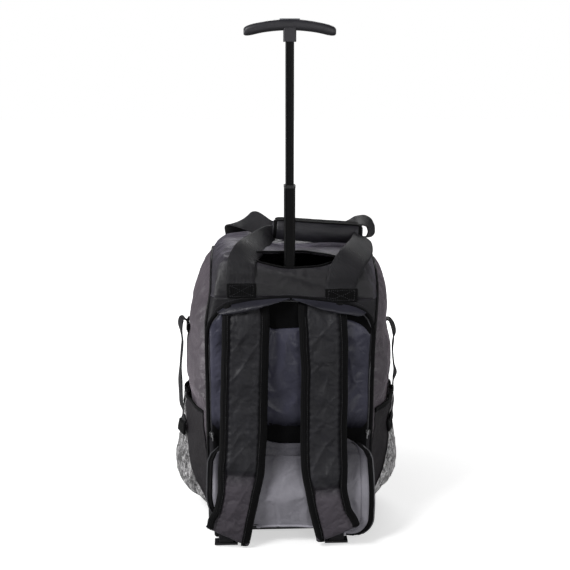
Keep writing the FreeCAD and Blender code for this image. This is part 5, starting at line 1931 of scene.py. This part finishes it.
def build_pocket_zip():
    line = np.array([(x, 198.6, 271.0) for x in np.linspace(-60, 60, 60)])
    attach(sweep("door_pocket_zip_tape", line, band_section(13, 1.4), (0, 0, 1), MAT["tape"]),
           "door", "zip_tape", "pocket_zip")
    attach(coil("door_pocket_zip_coil", line + np.array([0, 0.9, 0]), (0, 1.0, 0),
                (0, 0, 1.0)), "door", "zip_tape")
    # slider, bridge and two-part pull, drawn at y = 0 and moved onto the pocket's face
    bm = bmesh.new()
    # x, y, z, width, thickness, height, taper
    for plate in ((46, 0, 271, 8.6, 2.0, 10.5, 0.78), (46, 1.7, 271.5, 2.8, 1.6, 7.5),
                  (40.5, 2.3, 270.2, 9.5, 1.0, 3.6), (33.5, 2.5, 269.4, 9.0, 1.1, 5.2)):
        slab(bm, *plate)
    bmesh.ops.translate(bm, verts=bm.verts, vec=Vector((0, 200.0, 0)) * MM)
    attach(zip_pull("door_pocket_pull", bm, lambda c: c.x < 41.5), "door", "zip_metal")


build_door_zip()
build_door_pocket()
build_pocket_zip()

# =============================================================================
# Inside the bag: foam ball cup and shelf
# =============================================================================


def build_ball_cup():
    low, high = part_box("foam_ball_cup")
    centre_x, centre_y = (low.x + high.x) / 2 / MM, (low.y + high.y) / 2 / MM
    radius_x, radius_y = (high.x - low.x) / 2 / MM, (high.y - low.y) / 2 / MM
    foot, top = low.z / MM, high.z / MM
    tall = top - foot
    # share of the radius, z: up the outside, over the rim and down into the cup
    profile = [(0.96, foot), (1.0, foot + 3), (1.0, top - 5), (0.985, top - 1.5), (0.95, top),
               (0.90, top - 0.5), (0.84, top - 4), (0.70, foot + 0.45 * tall),
               (0.52, foot + 0.24 * tall), (0.30, foot + 0.12 * tall),
               (0.05, foot + 0.09 * tall)]
    rings = []
    for share, z in profile:
        # the outside is squarer than the hollow
        power = 2 / (3.2 if share > 0.88 else 2.0)
        points = []
        for k in range(72):
            a = 2 * math.pi * k / 72
            dx = math.copysign(abs(math.cos(a)) ** power, math.cos(a)) * radius_x * share
            dy = math.copysign(abs(math.sin(a)) ** power, math.sin(a)) * radius_y * share
            points.append((centre_x + dx, centre_y + dy,
                           z + 0.4 * ripple(dx * 0.1, dy * 0.1, z * 0.1)))
        rings.append(points)
    bm = bmesh.new()
    add_tube(bm, rings)
    attach(object_from_bmesh("ball_cup_foam", bm, MAT["foam"]), "bag", "foam_dark",
           "foam_ball_cup")


def build_shelf():
    low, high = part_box("divider_shelf")
    cols, rows = 60, 44
    points = np.zeros((cols, rows, 3))
    for i in range(cols):
        for j in range(rows):
            u, v = -1 + 2 * i / (cols - 1), -1 + 2 * j / (rows - 1)
            x = (low.x + high.x) / 2 / MM + u * (high.x - low.x) / 2 / MM
            y = (low.y + high.y) / 2 / MM + v * (high.y - low.y) / 2 / MM
            points[i, j] = (x, y, high.z / MM + 1.2 * (1 - u ** 6) * (1 - v ** 6)
                            + 0.4 * ripple(x * 0.03, y * 0.03, 1) - 0.6)
    attach(sheet("shelf_pad", points, 5.0, MAT["lining"]), "bag", "lining_dark",
           "divider_shelf")


build_ball_cup()
build_shelf()

# =============================================================================
# Webbing tails at the strap buckles
# =============================================================================
TAIL_X = {"left": -118, "right": 83}
TAIL_YZ = [(-163, 8.6), (-170, 7.9), (-178, 7.8), (-184.5, 8.4), (-189.2, 13.5), (-191.4, 22),
           (-192.6, 34)]
for side, x in TAIL_X.items():
    ob = ribbon(side + "_strap_tail", [(x, y, z) for y, z in TAIL_YZ], [X_AXIS] * len(TAIL_YZ),
                [25] * len(TAIL_YZ), thick=1.5, count=60, seed=21, cup=0.2, wobble=0.2)
    attach(ob, side + "_strap", "webbing_black", side + "_strap_webbing")

# =============================================================================
# Finishes of the hard CAD parts; any part not listed is black plastic
# =============================================================================
FINISHES = {
    "board": ("liner_board", "floor_board"),
    "steel": ("left_axle", "right_axle", "lock_rod", "button_spring"),
    "tyre": ("left_tyre", "right_tyre", "front_feet"),
    "tube": ("outer_tube", "mid_tube", "inner_tube"),
    "gloss": ("outer_tube_collar", "mid_tube_collar"),
    "grip": ("grip",),
    "button": ("grip_button",),
    "puller": ("door_zip_sliders",),
}
finish_of = {part: finish for finish, parts in FINISHES.items() for part in parts}
for name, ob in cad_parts.items():
    if not ob.hide_render:
        ob.data.materials.clear()
        ob.data.materials.append(MAT[finish_of.get(name, "plastic")])

# =============================================================================
# Floor, world, lights and camera, in metres
# =============================================================================


def floor_material():
    """Pale floor that looks near white to the camera but throws back little light."""
    m = Shader("floor_pale")
    seen = m.ramp(m.noise(scale=3.0, detail=2.0), [(0.3, 0.78), (0.8, 0.82)])
    camera_ray = m.node("ShaderNodeLightPath").outputs["Is Camera Ray"]
    m.set(Base_Color=m.mix(camera_ray, (0.30, 0.30, 0.30), seen), Roughness=0.8,
          Emission_Color=(1, 1, 1))
    camera_ray = m.node("ShaderNodeLightPath").outputs["Is Camera Ray"]
    x, y, _ = m.split()
    far = m.math("SQRT", m.math("ADD", m.math("MULTIPLY", x, x), m.math("MULTIPLY", y, y)))
    # the glow grows from 0.55 near the bag to 1.05 beyond 1.15 m
    away = m.math("DIVIDE", m.math("SUBTRACT", far, 0.25, clamp=True), 0.9, clamp=True)
    glow = m.math("ADD", m.math("MULTIPLY", away, 0.5), 0.55)
    m.set(Emission_Strength=m.math("MULTIPLY", camera_ray, glow))
    return m.material


def build_floor(half=14.0):
    material = floor_material()
    mesh = bpy.data.meshes.new("floor")
    mesh.from_pydata([(-half, -half, 0), (half, -half, 0), (half, half, 0), (-half, half, 0)],
                     [], [(0, 1, 2, 3)])
    new_object("floor", mesh, [material])


def build_world(light_strength, seen_strength):
    """White world: dim as a light, bright where the camera sees it."""
    world = bpy.data.worlds.new("studio")
    bpy.context.scene.world = world
    world.use_nodes = True
    nodes, links = world.node_tree.nodes, world.node_tree.links
    light = nodes["Background"]
    seen = nodes.new("ShaderNodeBackground")
    for node, strength in ((light, light_strength), (seen, seen_strength)):
        node.inputs[0].default_value = (1, 1, 1, 1)
        node.inputs[1].default_value = strength
    path = nodes.new("ShaderNodeLightPath")
    mix = nodes.new("ShaderNodeMixShader")
    links.new(path.outputs["Is Camera Ray"], mix.inputs[0])
    links.new(light.outputs[0], mix.inputs[1])
    links.new(seen.outputs[0], mix.inputs[2])
    output = [n for n in nodes if n.type == "OUTPUT_WORLD"][0]
    links.new(mix.outputs[0], output.inputs[0])


def aim(ob, target):
    ob.rotation_euler = (Vector(target) - ob.location).to_track_quat("-Z", "Y").to_euler()
    bpy.context.scene.collection.objects.link(ob)


def area(name, location, target, size, size_y, power):
    light = bpy.data.lights.new(name, "AREA")
    light.shape = "RECTANGLE"
    light.size = size
    light.size_y = size_y
    light.energy = power
    ob = bpy.data.objects.new(name, light)
    ob.location = location
    aim(ob, target)


def build_camera(target, azimuth, elevation, distance):
    """A camera behind the bag's back, turned by azimuth and raised by elevation."""
    camera = bpy.data.cameras.new("camera")
    camera.lens = 59.6
    camera.sensor_width = 36
    camera.clip_start = 0.05
    camera.clip_end = 60
    ob = bpy.data.objects.new("camera", camera)
    ob.location = Vector(target) + Vector((
        math.sin(azimuth) * math.cos(elevation), -math.cos(azimuth) * math.cos(elevation),
        math.sin(elevation))) * distance
    aim(ob, target)
    bpy.context.scene.camera = ob


build_floor()
build_world(light_strength=0.07, seen_strength=1.0)
area("key_top_left", (-1.5, -1.3, 2.1), (0, -0.05, 0.35), size=0.8, size_y=0.8, power=44)
area("soft_front", (0.9, -2.5, 0.9), (0, 0, 0.25), size=1.1, size_y=1.4, power=15)
area("fill_left", (-2.2, -0.25, 0.7), (0, 0, 0.3), size=0.8, size_y=1.4, power=22)
area("fill_right", (2.3, -0.4, 0.9), (0, 0, 0.3), size=0.8, size_y=1.4, power=12)
area("back_rim", (0.5, 2.0, 2.0), (0, 0, 0.45), size=1.5, size_y=1.0, power=22)
build_camera(target=(-0.0096, -0.150, 0.480), azimuth=math.radians(-2.4),
             elevation=math.radians(13.0), distance=1.650)
bpy.context.scene.view_settings.view_transform = "Standard"
bpy.context.scene.view_settings.look = "None"
